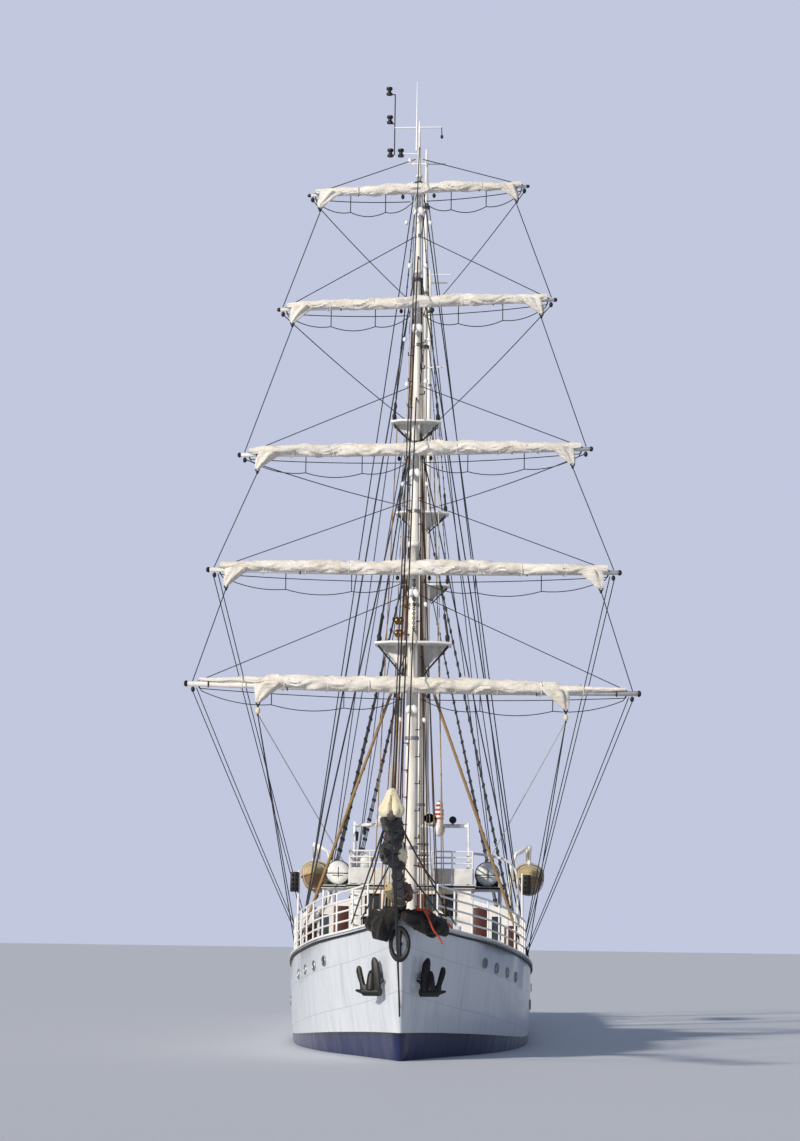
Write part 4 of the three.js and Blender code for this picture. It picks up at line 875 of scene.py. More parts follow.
# Lifts from the mast to the yardarms, and braces from the yardarms aft
BRACES = {
    # yard: where they lead: x, aft, height; how many parts
    "course": (3.7, 21.0, 2.4, 2),
    "lower_topsail": (3.7, 24.5, 2.3, 2),
    "upper_topsail": (0.3, 23.4, 18.9, 1),
    "topgallant": (0.25, 23.4, 21.9, 1),
    "royal": (0.2, 23.4, 26.4, 1),
}
for yard in YARDS:
    name = yard.name
    x, aft, height, count = BRACES[name]
    for label, side in SIDES:
        arm = tilted(yard, side * yard.length * 0.478, 0, 0.05)
        head = at(side * 0.12, FOREMAST - 0.05, yard.lift_foot)
        lift = strands([between(head, arm, 14)], 0.03)
        piece(f"{name}_lift_{label}", [lift], name, TARRED, bend=(head, arm))
        runs = []
        for part in range(count):
            shift = 0.16 * part
            foot = at(side * (x - 0.05 * part), aft + shift * 2, height)
            end = tilted(yard, side * (yard.length * 0.488 - shift), -0.05, -0.12)
            runs.append(between(end, foot, 14, 0.1))
        piece(f"{name}_brace_{label}", [strands(runs, 0.032)], name, TARRED, bend=(foot, arm))


# Headsails, bowsprit gear and stem
def on_sprit(share, across=0.0, lift=0.0):
    """A place by the bowsprit's axis, at a share of its length."""
    aft = BOWSPRIT_HEEL[0] + (BOWSPRIT_TIP[0] - BOWSPRIT_HEEL[0]) * share
    height = BOWSPRIT_HEEL[1] + (BOWSPRIT_TIP[1] - BOWSPRIT_HEEL[1]) * share
    return at(across, aft, height + lift)


def roll_on_sprit(low, high, across, lift, thick, seed, ties, taper=0.35, count=60):
    """A roll of canvas lying along the bowsprit."""
    spots = []
    for share in shares(count):
        fat = thick * (1 - taper * abs(2 * share - 1) ** 2)
        spots.append((on_sprit(low + (high - low) * share, across * (1 - 0.4 * share), lift), fat))
    return canvas_roll(spots, seed, ties)


HOOD_AFT = -8.82
HOOD_SLIT_TOP = 6.45
HOOD = (
    # height, half-width, reach forward and aft of the bowsprit's end
    (6.0, 0.2, 0.12, 0.3), (6.05, 0.235, 0.18, 0.36), (6.13, 0.265, 0.21, 0.38), (6.2, 0.275, 0.21, 0.38),
    (6.27, 0.25, 0.19, 0.35), (6.38, 0.2, 0.16, 0.29), (6.5, 0.15, 0.13, 0.22), (6.6, 0.11, 0.1, 0.16),
    (6.65, 0.07, 0.07, 0.1), (6.67, 0.03, 0.03, 0.04),
)


def hood():
    """The canvas hood over the bowsprit's end, with a slit up its front."""
    rings = []
    for height, half, fore, after in HOOD:
        loop = []
        for turn in turns(44):
            front = math.sin(turn) < 0
            slit = 0.6 * math.exp(-(math.cos(turn) / 0.14) ** 2) if front and height < HOOD_SLIT_TOP else 0
            fold = 1 + 0.45 * crease(turn, height, 5.0) + 0.05 * math.sin(7 * turn + 5 * height)
            aft = HOOD_AFT + (fore if front else after) * math.sin(turn) * fold * (1 - slit)
            loop.append(at(half * math.cos(turn) * fold, aft, height))
        rings.append(loop)
    return sheet_of(closed_ends(rings))


cream = [hood()]
# The stowed headsail shows below its cover on the port side
cream.append(roll_on_sprit(0.5, 0.93, 0.05, 0.04, 0.14, 2.0, 5))
cream.append(roll_on_sprit(0.585, 0.755, 0.2, -0.02, 0.13, 6.0, 2, taper=0.7))
sails = piece("headsail_canvas", cream, "ship", CREAM, smooth=60)
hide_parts("furled_headsails")
dark = [
    roll_on_sprit(0.58, 0.985, 0.0, 0.03, 0.2, 1.0, 3, taper=0.1),
    roll_on_sprit(0.6, 0.775, -0.19, -0.02, 0.21, 4.0, 1, taper=0.6),
    roll_on_sprit(0.57, 0.66, 0.13, -0.1, 0.13, 5.0, 1, taper=0.6),
]
piece("headsail_cover", dark, "ship", DARK_CLOTH, smooth=60)
starboard_pouch = [roll_on_sprit(0.2, 0.33, -0.24, 0.1, 0.16, 2.0, 1, taper=0.8, count=16)]
piece("canvas_pouch_starboard", starboard_pouch, "ship", COVER, smooth=60)
port_pouch = [roll_on_sprit(0.18, 0.34, 0.24, 0.12, 0.17, 7.0, 1, taper=0.8, count=16)]
piece("canvas_pouch_port", port_pouch, "ship", MAROON, smooth=60)
GASKETS = (
    # name, material, places along the bowsprit, reach
    ("headsail", TARRED, (0.63, 0.72, 0.82, 0.9), 0.25),
    ("pouch", MANILA, (0.22, 0.3), 0.24),
)
for name, material, places, reach in GASKETS:
    around = [(math.cos(turn) * reach, 0.03 + math.sin(turn) * reach * 0.8) for turn in turns(16)]
    loops = [[on_sprit(share, across, lift) for across, lift in around] for share in places]
    piece(name + "_gaskets", [strands(loops, 0.03, cyclic=True)], "ship", material)
along = on_sprit(1) - on_sprit(0)
bands = [ring(on_sprit(share), along, 0.16 * (1 - 0.35 * share), 0.02, 20, 6)
         for share in (0.08, 0.16, 0.38, 0.46, 0.985)]
piece("bowsprit_bands", bands, "ship", BLACK)

# Bobstays, guys and the lifelines along the bowsprit
wires = [
    between(on_sprit(0.985, 0, -0.1), at(0, 0.86, 1.45), 4),
    between(on_sprit(0.62, 0, -0.14), at(0, 0.9, 1.2), 4),
]
for _, side in SIDES:
    wires.append(between(on_sprit(0.985, side * 0.08), at(side * 1.44, 3.6, 3.66), 4))
    wires.append(between(on_sprit(0.6, side * 0.1), at(side * 1.14, 2.8, 3.76), 4))
    wires.append(between(on_sprit(0.97, side * 0.1, 0.1), at(side * 0.9, 2.2, 4.75), 10, 0.12))
piece("bowsprit_wires", [strands(wires, 0.045)], "ship", TARRED)

# Dark net bundles at the bow and the orange rope over them
nets = []
for side, reach, seed in ((-1, 0.78, 1.0), (1, 1.12, 2.0)):
    spots = []
    for share in shares(25):
        half = 0.27 * math.sin(math.pi * (0.12 + 0.76 * share)) ** 0.6
        place = at(side * (0.1 + reach * share), -0.22 + 1.15 * share * reach, 3.86 - 0.34 * share * reach)
        spots.append((place, half))
    nets.append(canvas_roll(spots, seed, 2, flat=0.85, sides=30))
hung = []
for share in shares(19):
    half = 0.12 + 0.2 * math.sin(math.pi * (0.15 + 0.7 * share))
    hung.append((at(-0.42 - 0.12 * share, 0.05, 3.75 - 0.55 * share), half))
nets.append(canvas_roll(hung, 6.0, flat=0.9))
piece("bow_net_bundles", nets, "ship", DARK_CLOTH, smooth=60)
orange = []
for lift, reach in ((0.0, 1.0), (0.03, 0.8)):
    path = []
    for share in shares(24):
        height = 4.06 + lift - 0.55 * share ** 1.6 + 0.05 * math.sin(11 * share + reach * 4)
        path.append(at(0.42 + 0.95 * share * reach, -0.1 + 1.3 * share, height))
    orange.append(path)
orange.append([at(0.62 + 0.5 * share, -0.15 + 0.5 * share, 4.0 - 0.9 * share + 0.04 * math.sin(9 * share))
               for share in shares(14)])
piece("bow_rope", [strands(orange, 0.05, 2)], "ship", ORANGE)

# Oval ring on the stem
oval = [
    ring(at(0, 0.02, 3.1), (0, -1, 0.12), 0.235, 0.055, 32, 10, 1.65),
    rod(at(0, 0.02, 3.1), at(0, 0.45, 3.12), 0.07),
    rod(at(0, 0.0, 2.74), at(0, 0.0, 3.46), 0.05),
    rod(at(0, 0.02, 2.8), at(0, 0.5, 2.86), 0.05),
]
piece("stem_ring", oval, "ship", BLACK)


# Anchors
def cut_plate(outline, thick, ease):
    """A plate of a thickness cut to an outline of places, with eased edges."""
    bpy.ops.object.select_all(action="DESELECT")
    bpy.ops.mesh.primitive_circle_add(vertices=len(outline), fill_type="NGON")
    obj = bpy.context.object
    obj.data.vertices.foreach_set("co", [value for spot in outline for value in spot])
    return edit(thickened(obj, thick), face_out, bevel(ease))


FLUKES = (
    # outlines in distance outboard and height: the outer fluke and the inner
    ((0.0, -0.42), (0.22, -0.44), (0.25, -0.19), (0.33, 0.0), (0.372, 0.15), (0.36, 0.25), (0.311, 0.31),
     (0.25, 0.25), (0.225, 0.15), (0.18, 0.0), (0.12, -0.19), (0.0, -0.25)),
    ((0.0, -0.42), (-0.35, -0.42), (-0.363, -0.2), (-0.34, 0.05), (-0.31, 0.25), (-0.29, 0.384),
     (-0.21, 0.49), (-0.143, 0.543), (-0.1, 0.48), (-0.085, 0.384), (-0.1, 0.2), (-0.1, 0.0), (0.0, -0.25)),
)
ANCHOR_CROWN = ((0, 0), (0, 0.13), (0.12, 0.14), (0.4, 0.115), (0.5, 0.08), (0.55, 0))


def bow_anchor(label, side):
    """A stockless anchor housed on the bow, with its hawse pipe's lip behind the shank."""
    centre = at(side * 0.82, 1.72, 2.2)
    along = Vector((side, 0.5, 0.0)).normalized()
    facing = Vector((side * 0.5, -1, 0.12)).normalized()
    up = facing.cross(along).normalized()
    if up.z < 0:
        up.negate()

    def spot(across, rise, out):
        return centre + (along * across + up * rise + facing * out) * SCALE

    metal = [
        # shank, crown bar, crown and the two palms
        rod(spot(-0.09, -0.05, 0.05), spot(-0.14, 0.25, -0.55), 0.1, 0.09, 16),
        rod(spot(-0.35, -0.38, 0.02), spot(0.19, -0.38, 0.02), 0.12, 0.12, 18),
        turned(ANCHOR_CROWN, spot(-0.09, -0.34, 0.1), spot(-0.09, 0.5, 0.1), 20),
        rod(spot(0.12, -0.4, 0.05), spot(0.377, -0.36, 0.1), 0.08, 0.03, 12),
        rod(spot(-0.28, -0.15, 0.05), spot(-0.48, -0.07, 0.1), 0.06, 0.03, 12),
    ]
    for fluke in FLUKES:
        metal.append(cut_plate([spot(x, z, 0.1 + 0.08 * z) for x, z in fluke], 0.13, 0.03))
    anchor = piece(f"anchor_casting_{label}", metal, "ship", BLACK, smooth=40)
    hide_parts(f"anchor_{label}")
    lip, out = hull_side(2.0, 2.36, side)
    piece(f"hawse_lip_{label}", [ring(lip, out, 0.15, 0.035, 28, 8)], "ship", BLACK)


for label, side in SIDES:
    bow_anchor(label, side)


# Edges and openings of the hull
MOULDING = (
    # outline across the strip, as shares of its width and height
    (-0.5, -0.35), (-0.35, -0.5), (0.35, -0.5), (0.5, -0.35),
    (0.5, 0.35), (0.35, 0.5), (-0.35, 0.5), (-0.5, 0.35),
)
STATIONS = [0.05 + 0.25 * i for i in range(7)] + [2 + 0.5 * i for i in range(84)] + [43.95]
PORTHOLES = (
    # aft, height
    (5.6, 2.59), (6.6, 2.44), (7.9, 2.31), (9.2, 2.16),
    (14.0, 1.25), (16.5, 1.15), (19.0, 1.08), (21.5, 1.04), (24.0, 1.04),
    (26.5, 1.06), (29.0, 1.1), (31.5, 1.18), (34.0, 1.3),
)
FREEING_PORTS = (15.5, 19.5, 26.5, 30.5, 37.0)


def moulding(path, wide, tall):
    """A strip along a list of places, with rounded edges."""
    rings = []
    for i, spot in enumerate(path):
        ahead = path[min(i + 1, len(path) - 1)] - path[max(i - 1, 0)]
        across = Vector((ahead.y, -ahead.x, 0)).normalized()
        rings.append([spot + (across * wide * u + UP * tall * v) * SCALE for u, v in MOULDING])
    return sheet_of(closed_ends(rings))


def portholes(label, side):
    """Rims and panes of the portholes on a side."""
    rims = []
    panes = []
    for aft, height in PORTHOLES:
        centre, facing = hull_side(aft, height, side)
        rims.append(ring(centre + facing * 0.005 * SCALE, facing, 0.135, 0.022, 22, 6))
        panes.append(turned(((0, 0), (0, 0.13), (0.01, 0.13), (0.016, 0)), centre, centre + facing, 20))
    piece(f"porthole_rims_{label}", rims, "ship", GREY)
    piece(f"porthole_panes_{label}", panes, "ship", DARK_GLASS)


def freeing_ports(label, side):
    """Flaps of the freeing ports in the bulwark."""
    corners = ((-0.35, 0.1), (0.35, 0.1), (0.35, 0.36), (-0.35, 0.36))
    flaps = []
    for aft in FREEING_PORTS:
        outline = [hull_side(aft + along, main_deck(aft) + up, side, 0.012)[0] for along, up in corners]
        flaps.append(cut_plate(outline, 0.03, 0.008))
    piece(f"freeing_ports_{label}", flaps, "ship", HULL)


for label, side in SIDES:
    edge = [at(side * (half_breadth(aft) - 0.02), aft, sheer(aft) + 0.02) for aft in STATIONS]
    piece(f"deck_edge_{label}", [moulding(edge, 0.14, 0.07)], "ship", WHITE, smooth=50)
    strake = [hull_side(aft, sheer(aft) - 0.1, side, 0.02)[0] for aft in STATIONS]
    piece(f"rub_strake_{label}", [moulding(strake, 0.06, 0.06)], "ship", BLACK, smooth=50)
    portholes(label, side)
    freeing_ports(label, side)


# Decks
def deck_sheet(start, end, height, inset, count):
    """Planking laid between two places aft, on a deck's height and inside its edge."""
    rings = []
    for share in shares(count):
        aft = start + (end - start) * share
        half = max(half_breadth(aft) - inset, 0.04)
        rings.append([at(half * k / 3, aft, height(aft) + 0.012) for k in range(-3, 4)])
    return thickened(sheet_of(rings, closed=False), 0.02)


piece("forecastle_planking", [deck_sheet(0.5, 12.14, sheer, 0.1, 30)], "ship", TEAK)
main_planking = [deck_sheet(12.3, 12.58, main_deck, 0.2, 2), deck_sheet(20.42, 43.6, main_deck, 0.2, 50)]
piece("main_deck_planking", main_planking, "ship", TEAK)


# Standing rigging
def at_height(foot, head, height):
    """The place on a wire at a height."""
    return foot.lerp(head, (height * SCALE - foot.z) / (head.z - foot.z))


def rungs(fan, low, high, spacing, spread=0.0):
    """Level rungs across a fan of wires, which reach past the outer wires by a spread."""
    made = []
    steps = int((high - low) / spacing)
    for i in range(steps + 1):
        run = [at_height(foot, head, low + spacing * i) for foot, head in fan]
        beyond = (run[-1] - run[0]).normalized() * spread * SCALE
        made.append([run[0] - beyond, *run, run[-1] + beyond])
    return made


def lashings(fan, low, high, spacing, reach=0.05):
    """Short turns of tarred line where the rungs cross the wires."""
    made = []
    steps = int((high - low) / spacing)
    for foot, head in fan:
        along = (head - foot).normalized() * reach * SCALE
        for i in range(steps + 1):
            spot = at_height(foot, head, low + spacing * i)
            made.append([spot - along, spot + along])
    return made


SHROUDS = (
    # set, mast, hounds' height, first foot aft, count, spacing of the feet
    ("fore", FOREMAST, 12.05, 12.45, 4, 0.7),
    ("main", MAINMAST, 18.2, 24.2, 4, 0.85),
    ("mizzen", MIZZENMAST, 17.1, 35.6, 3, 0.8),
)
BACKSTAYS = {
    # set: height of the band on the mast, the mast's radius there, how far aft the backstays land
    "fore": ((18.85, 0.129, (15.3, 15.7)), (24.2, 0.096, (16.3, 16.6)), (27.4, 0.074, (17.2,))),
    "main": ((25.0, 0.12, (27.6,)), (30.35, 0.082, (28.3,))),
    "mizzen": ((24.0, 0.11, (38.0,)), (29.2, 0.071, (38.6,))),
}
UPPER_STAYS = {
    # set: upper and lower ends of the stays from its mast's bands
    "main": (
        (at(0, MAINMAST, 25.0), at(0, FOREMAST, 19.85)),
        (at(0, MAINMAST, 30.35), at(0, FOREMAST, 25.1)),
    ),
    "mizzen": (
        (at(0, MIZZENMAST, 24.0), at(0, MAINMAST, 19.5)),
        (at(0, MIZZENMAST, 29.2), at(0, MAINMAST, 29.95)),
        (at(0, MIZZENMAST + 0.11, 29.2), at(0, 43.3, 2.0)),
    ),
}
RATLINE_STEP = 0.4


def channel_foot(side, aft):
    """Where a shroud or backstay stands on the channel."""
    return at(side * (half_breadth(aft) - 0.06), aft, sheer(aft) + 0.02)


def mast_band(mast, height, radius, tall):
    """A band round a mast."""
    rows = ((0, radius * 0.9), (0, radius + 0.022), (tall, radius + 0.022), (tall, radius * 0.9))
    return turned(rows, at(0, mast, height), at(0, mast, height + 1), 20)


def band_rim(mast, height, radius):
    """The flanged band that backstays hang from."""
    rows = ((0, radius * 0.9), (0, radius + 0.06), (0.02, radius + 0.07), (0.08, radius + 0.07),
            (0.1, radius + 0.06), (0.1, radius * 0.9))
    return turned(rows, at(0, mast, height - 0.05), at(0, mast, height + 1), 20)


def backstays(name, mast, side):
    """The feet and heads of a mast's backstays on a side."""
    return [(channel_foot(side, aft), at(side * (radius + 0.035), mast + 0.09 * (i - 0.5), height))
            for height, radius, landings in BACKSTAYS[name] for i, aft in enumerate(landings)]


def turnbuckles(fan, hung):
    """Screws at the feet of shrouds and of backstays."""
    screws = []
    for foot, head in hung:
        screws.append(rod(foot, foot + (head - foot).normalized() * 0.6 * SCALE, 0.048, sides=8))
    for foot, head in fan:
        up = (head - foot).normalized() * SCALE
        for low, high, radius in ((-0.05, 0.2, 0.03), (0.18, 0.62, 0.05), (0.6, 0.85, 0.034)):
            screws.append(rod(foot + up * low, foot + up * high, radius, sides=8))
    return screws


def lower_shrouds(label, side, name, mast, hounds, first, count, spacing):
    """A mast's shrouds and backstays on a side, with their screws, ratlines and lashings."""
    head = at(side * 0.25, mast + 0.12, hounds)
    fan = [(channel_foot(side, first + spacing * i), head) for i in range(count)]
    hung = backstays(name, mast, side)
    runs = [list(ends) for ends in fan + hung]
    rims = []
    if side < 0:
        # The bands and the stays aloft hang together with the starboard shrouds
        runs += [list(ends) for ends in UPPER_STAYS.get(name, ())]
        rims = [band_rim(mast, height, radius) for height, radius, _ in BACKSTAYS[name]]
    wires = [strands(runs, 0.038, 2), *rims]
    shrouds = piece(f"{name}_shroud_wires_{label}", wires, "ship", WIRE)
    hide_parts(f"{name}_shrouds_{label}")
    piece(f"{name}_turnbuckles_{label}", turnbuckles(fan, hung), "ship", BLACK)
    low = fan[0][0].z / SCALE + 1.1
    high = hounds - 0.9
    ratlines = strands(rungs(fan, low, high, RATLINE_STEP), 0.02)
    piece(f"{name}_ratlines_{label}", [ratlines], "ship", MANILA)
    ties = strands(lashings(fan, low, high, RATLINE_STEP), 0.085)
    piece(f"{name}_ratline_lashings_{label}", [ties], "ship", TARRED)
    if name == "fore":
        served = [at_height(*fan[0], low), at_height(*fan[0], high)]
        piece(f"fore_shroud_serving_{label}", [strands([served], 0.1, 2)], "ship", MANILA)


for row in SHROUDS:
    for label, side in SIDES:
        lower_shrouds(label, side, *row)

# Topmast and topgallant shrouds, with their rungs
UPPER_SHROUDS = (
    # name, mast, rim's half-width, feet's height, where they stand aft, head's height, served to, rungs to
    ("fore_topmast", FOREMAST, 1.12, 12.46, (0.12, 0.42, 0.72), 19.25, 13.4, 18.7),
    ("fore_topgallant", FOREMAST, 0.72, 19.56, (0.2, 0.5), 26.5, 20.2, 25.8),
    ("main_topmast", MAINMAST, 0.88, 18.76, (0.1, 0.45), 27.0, 19.5, 26.2),
    ("mizzen_topmast", MIZZENMAST, 0.88, 17.66, (0.1, 0.45), 26.0, 18.4, 25.2),
)
for name, mast, half, height, steps, head_height, served_to, rung_top in UPPER_SHROUDS:
    fans = []
    served = []
    shells = []
    for _, side in SIDES:
        head = at(side * 0.13, mast + 0.04, head_height)
        fan = [(at(side * half, mast + step, height), head) for step in steps]
        fans.append(fan)
        for foot, head in fan:
            served.append([foot, at_height(foot, head, served_to)])
            shells.append(pulley(at_height(foot, head, height + 0.3), DOWN, 0.1))
            shells.append(pulley(at_height(foot, head, served_to), DOWN, 0.07))
    wires = [[foot, head] for fan in fans for foot, head in fan]
    piece(name + "_shroud_wires", [strands(wires, 0.032)], "ship", WIRE)
    piece(name + "_servings", [strands(served, 0.075), *shells], "ship", TARRED)
    steps_up = [run for fan in fans for run in rungs(fan, served_to + 0.2, rung_top, RATLINE_STEP, 0.05)]
    piece(name + "_rungs", [strands(steps_up, 0.05)], "ship", TARRED)

# Futtock shrouds under the tops
TOPS = (
    # mast, half-width at the futtocks, their heads' height, their feet's height
    (FOREMAST, 1.1, 12.38, 11.3),
    (FOREMAST, 0.7, 19.48, 18.95),
    (MAINMAST, 0.86, 18.68, 18.0),
    (MIZZENMAST, 0.86, 17.58, 16.9),
)
futtocks = []
for mast, half, height, foot_height in TOPS:
    for _, side in SIDES:
        foot = at(side * 0.2, mast + 0.12, foot_height)
        fan = [(foot, at(side * half, mast + step, height)) for step in (0.1, 0.5)]
        futtocks += [list(ends) for ends in fan]
        futtocks += rungs(fan, foot_height + 0.25, height - 0.1, 0.3, 0.08)
piece("futtock_shrouds", [strands(futtocks, 0.045)], "ship", TARRED)

# Stays between the masts and down to the bowsprit
STAYS = (
    # node, upper end, lower end
    ("fore_stay", at(0, FOREMAST - 0.16, 12.9), at(0, 2.6, 3.84)),
    ("topmast_stay", at(0, FOREMAST - 0.12, 20.3), at(0, -3.14, 4.97)),
    ("topgallant_stay", at(0, FOREMAST - 0.1, 24.95), at(0, -7.0, 5.98)),
    ("main_stay", at(0, MAINMAST - 0.17, 18.25), at(0, FOREMAST + 0.17, 12.95)),
    ("mizzen_stay", at(0, MIZZENMAST - 0.15, 17.15), at(0, MAINMAST + 0.21, 10.6)),
)
for name, head, foot in STAYS:
    stay = piece(name + "_wire", [strands([[head, foot]], 0.042, 2)], "ship", TARRED)
    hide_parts(name)
royal_stay = strands([[at(0, FOREMAST - 0.05, 28.6), at(0, -8.7, 6.2)]], 0.034)
piece("royal_stay", [royal_stay], "ship", WIRE)

# Running rigging beside the foremast, from the pin rails to the blocks aloft
HALYARDS = (
    # name, material, slot, thickness, rows of foot x, foot aft, head x, head height
    ("tan_halyards", MANILA, "wire_rope", 0.038, (
        (-0.9, 12.0, -0.2, 15.2), (-0.72, 12.05, -0.16, 19.2), (0.62, 12.0, 0.2, 15.3),
        (0.85, 12.1, 0.18, 19.2), (-0.5, 12.1, -0.13, 24.3), (0.44, 12.1, 0.13, 24.3),
        (-1.2, 12.2, -0.6, 19.4), (1.1, 12.2, 0.55, 19.4))),
    ("white_halyards", LINE, "sailcloth", 0.032, (
        (-0.82, 12.1, -0.1, 27.5), (0.55, 12.15, 0.1, 27.5), (-0.62, 12.0, -0.22, 15.4),
        (0.74, 12.0, 0.2, 15.4), (-0.4, 11.95, -0.17, 19.3), (0.36, 11.95, 0.17, 19.3),
        (1.0, 12.25, 0.7, 19.4))),
    ("brown_halyards", RED_LINE, "wire_rope", 0.034, (
        (-0.56, 11.9, -0.2, 15.0), (0.5, 11.95, 0.2, 15.1), (-1.0, 12.2, -0.14, 19.0),
        (0.92, 12.2, 0.13, 19.0), (-0.34, 12.0, -0.11, 24.2), (0.3, 12.05, 0.11, 24.2))),
)
for name, material, slot, thick, rows in HALYARDS:
    lines = []
    for foot_x, foot_aft, head_x, head_height in rows:
        pin = at(foot_x, foot_aft, 3.35)
        lines.append([pin, above(pin, -0.35)])
        lines.append([pin, at(head_x, FOREMAST + 0.12, head_height)])
    piece(name, [strands(lines, thick)], "ship", material)
rails = [rod(at(side * 0.25, 11.98, 3.25), at(side * 1.3, 12.05, 3.25), 0.06, sides=10) for _, side in SIDES]
rails += [rod(at(side * x, 12.0, 2.6), at(side * x, 12.0, 3.3), 0.05, sides=10)
          for _, side in SIDES for x in (0.3, 1.22)]
piece("pin_rails", rails, "ship", WHITE)
pins = []
for _, side in SIDES:
    for i in range(8):
        x = side * (0.32 + 0.12 * i)
        pins.append(rod(at(x, 11.99 + 0.006 * i, 3.08), at(x, 11.99, 3.5), 0.022, sides=6))
piece("belaying_pins", pins, "ship", MAHOGANY)

# Blocks aloft: white pairs before the mast under each yard, and a big gilt pair on the top
white_shells = []
for height in (10.35, 14.0, 17.85, 22.55, 26.4):
    for side in (-1, 1):
        white_shells += [
            pulley(at(side * 0.03, FOREMAST - 0.34, height + 0.12), Vector((side * 0.45, 0, -1)), 0.15),
            pulley(at(side * 0.36, FOREMAST - 0.1, height - 0.25), Vector((side * 0.3, 0, -1)), 0.09),
        ]
LONE_BLOCKS = (
    # x, height
    (-0.3, 28.1), (0.24, 28.0), (-0.22, 27.3), (0.25, 24.6), (-0.26, 24.6), (0.3, 20.8), (-0.3, 20.7),
)
white_shells += [pulley(at(x, FOREMAST - 0.05, height + 0.15), DOWN, 0.1) for x, height in LONE_BLOCKS]
piece("white_blocks", white_shells, "ship", GRP)
gilt = [pulley(at(x, FOREMAST - 0.2, height), DOWN, 0.13) for x in (-0.5, -0.38) for height in (13.25, 12.85)]
piece("gilt_blocks", gilt, "ship", BRONZE)

# A chain halyard and the steps up the foremast
chain = []
for i in range(26):
    facing = (1, 0, 0) if i % 2 else (0, 1, 0)
    chain.append(ring(at(0.02, FOREMAST - 0.27, 12.9 + 0.075 * i), facing, 0.035, 0.014, 8, 4, 1.3))
piece("halyard_chain", chain, "ship", BLACK)
STEP_RISE = 0.42
hoops = []
for low, high, forward in ((3.4, 10.2, 0.3), (12.7, 14.2, 0.24), (15.8, 18.0, 0.2), (20.0, 22.6, 0.17)):
    for i in range(int((high - low) / STEP_RISE)):
        z = low + STEP_RISE * i
        side = 1 if i % 2 else -1
        outer = at(side * 0.26, FOREMAST - forward + 0.04, z)
        hoops.append([at(side * 0.12, FOREMAST - forward + 0.12, z), outer, above(outer, 0.1)])
piece("mast_steps", [strands(hoops, 0.04)], "ship", BLACK)

# Rims of the tops, and bands round the masts
rims = []
for mast, half, forward, after, height in (
    # mast, half-width, reach forward and aft, height
    (FOREMAST, 1.18, 0.35, 0.85, 12.44),
    (FOREMAST, 0.77, 0.25, 0.6, 19.54),
    (MAINMAST, 0.95, 0.3, 0.6, 18.74),
    (MIZZENMAST, 0.95, 0.3, 0.6, 17.64),
):
    edge = ((half, after), (half, -forward * 0.2), (half * 0.6, -forward))
    mirrored = [(-x, aft) for x, aft in reversed(edge)]
    rims.append([at(x, mast + aft, height) for x, aft in (*edge, *mirrored)])
piece("top_rims", [strands(rims, 0.075, 3, cyclic=True)], "ship", WHITE)
BANDS = (
    # mast, heights and radii of its bands
    (FOREMAST, ((6.0, 0.22), (9.4, 0.2), (13.6, 0.165), (16.6, 0.145), (22.0, 0.115), (25.6, 0.09))),
    (MAINMAST, ((8.0, 0.22), (14.0, 0.19), (21.0, 0.15), (27.0, 0.11), (30.4, 0.085))),
    (MIZZENMAST, ((7.0, 0.2), (13.0, 0.17), (20.0, 0.135), (26.0, 0.1), (29.2, 0.08))),
)
bands = [mast_band(mast, height, radius, 0.1) for mast, rows in BANDS for height, radius in rows]
piece("mast_bands", bands, "ship", GREY)

# Masthead bars, lamps and whip aerial
bars = [
    rod(at(-0.81, FOREMAST, 29.27), at(0.71, FOREMAST, 29.3), 0.028, sides=8),
    rod(at(0, FOREMAST, 29.1), at(0, FOREMAST, 29.5), 0.04, 0.02, sides=10),
    rod(at(-0.58, FOREMAST, 28.4), at(0.0, FOREMAST, 28.4), 0.022, sides=8),
    rod(at(-0.1, FOREMAST - 0.04, 28.5), at(-0.1, FOREMAST - 0.04, 30.8), 0.022, 0.008, sides=8),
    rod(at(-0.1, FOREMAST - 0.04, 28.7), at(0, FOREMAST, 28.7), 0.02, sides=6),
]
piece("masthead_bars", bars, "ship", WHITE)
LAMP_BARS = (
    # x and height of each end
    (-0.81, 28.36, -0.81, 30.4), (-0.81, 30.4, -1.0, 30.38), (-0.81, 29.4, -0.97, 29.42),
    (-0.81, 28.36, -0.94, 28.36), (0.71, 29.3, 0.72, 28.98),
)
MASTHEAD_LAMPS = (
    # x, height
    (-1.0, 30.38), (-0.97, 29.42), (-0.94, 28.3), (-0.6, 28.3),
)
LAMP_ROWS = (
    # distance, radius
    (0, 0), (0, 0.1), (0.05, 0.105), (0.09, 0.06), (0.15, 0.06), (0.19, 0.105), (0.25, 0.1), (0.25, 0),
)
dark_bars = [[at(x, FOREMAST, z), at(end_x, FOREMAST, end_z)] for x, z, end_x, end_z in LAMP_BARS]
lamps = [turned(LAMP_ROWS, at(x, FOREMAST, z), at(x, FOREMAST, z + 1), 12) for x, z in MASTHEAD_LAMPS]
lamps.append(pulley(at(0.72, FOREMAST, 29.05), DOWN, 0.07))
piece("masthead_lamps", [strands(dark_bars, 0.036), *lamps], "ship", BLACK)
spurs = [rod(at(0, MIZZENMAST, 30.8), at(0.87, MIZZENMAST, 30.8), 0.03, sides=8),
         rod(at(0, MAINMAST, 24.2), at(0.75, MAINMAST, 24.25), 0.03, sides=8)]
piece("mast_spurs", spurs, "ship", WHITE)


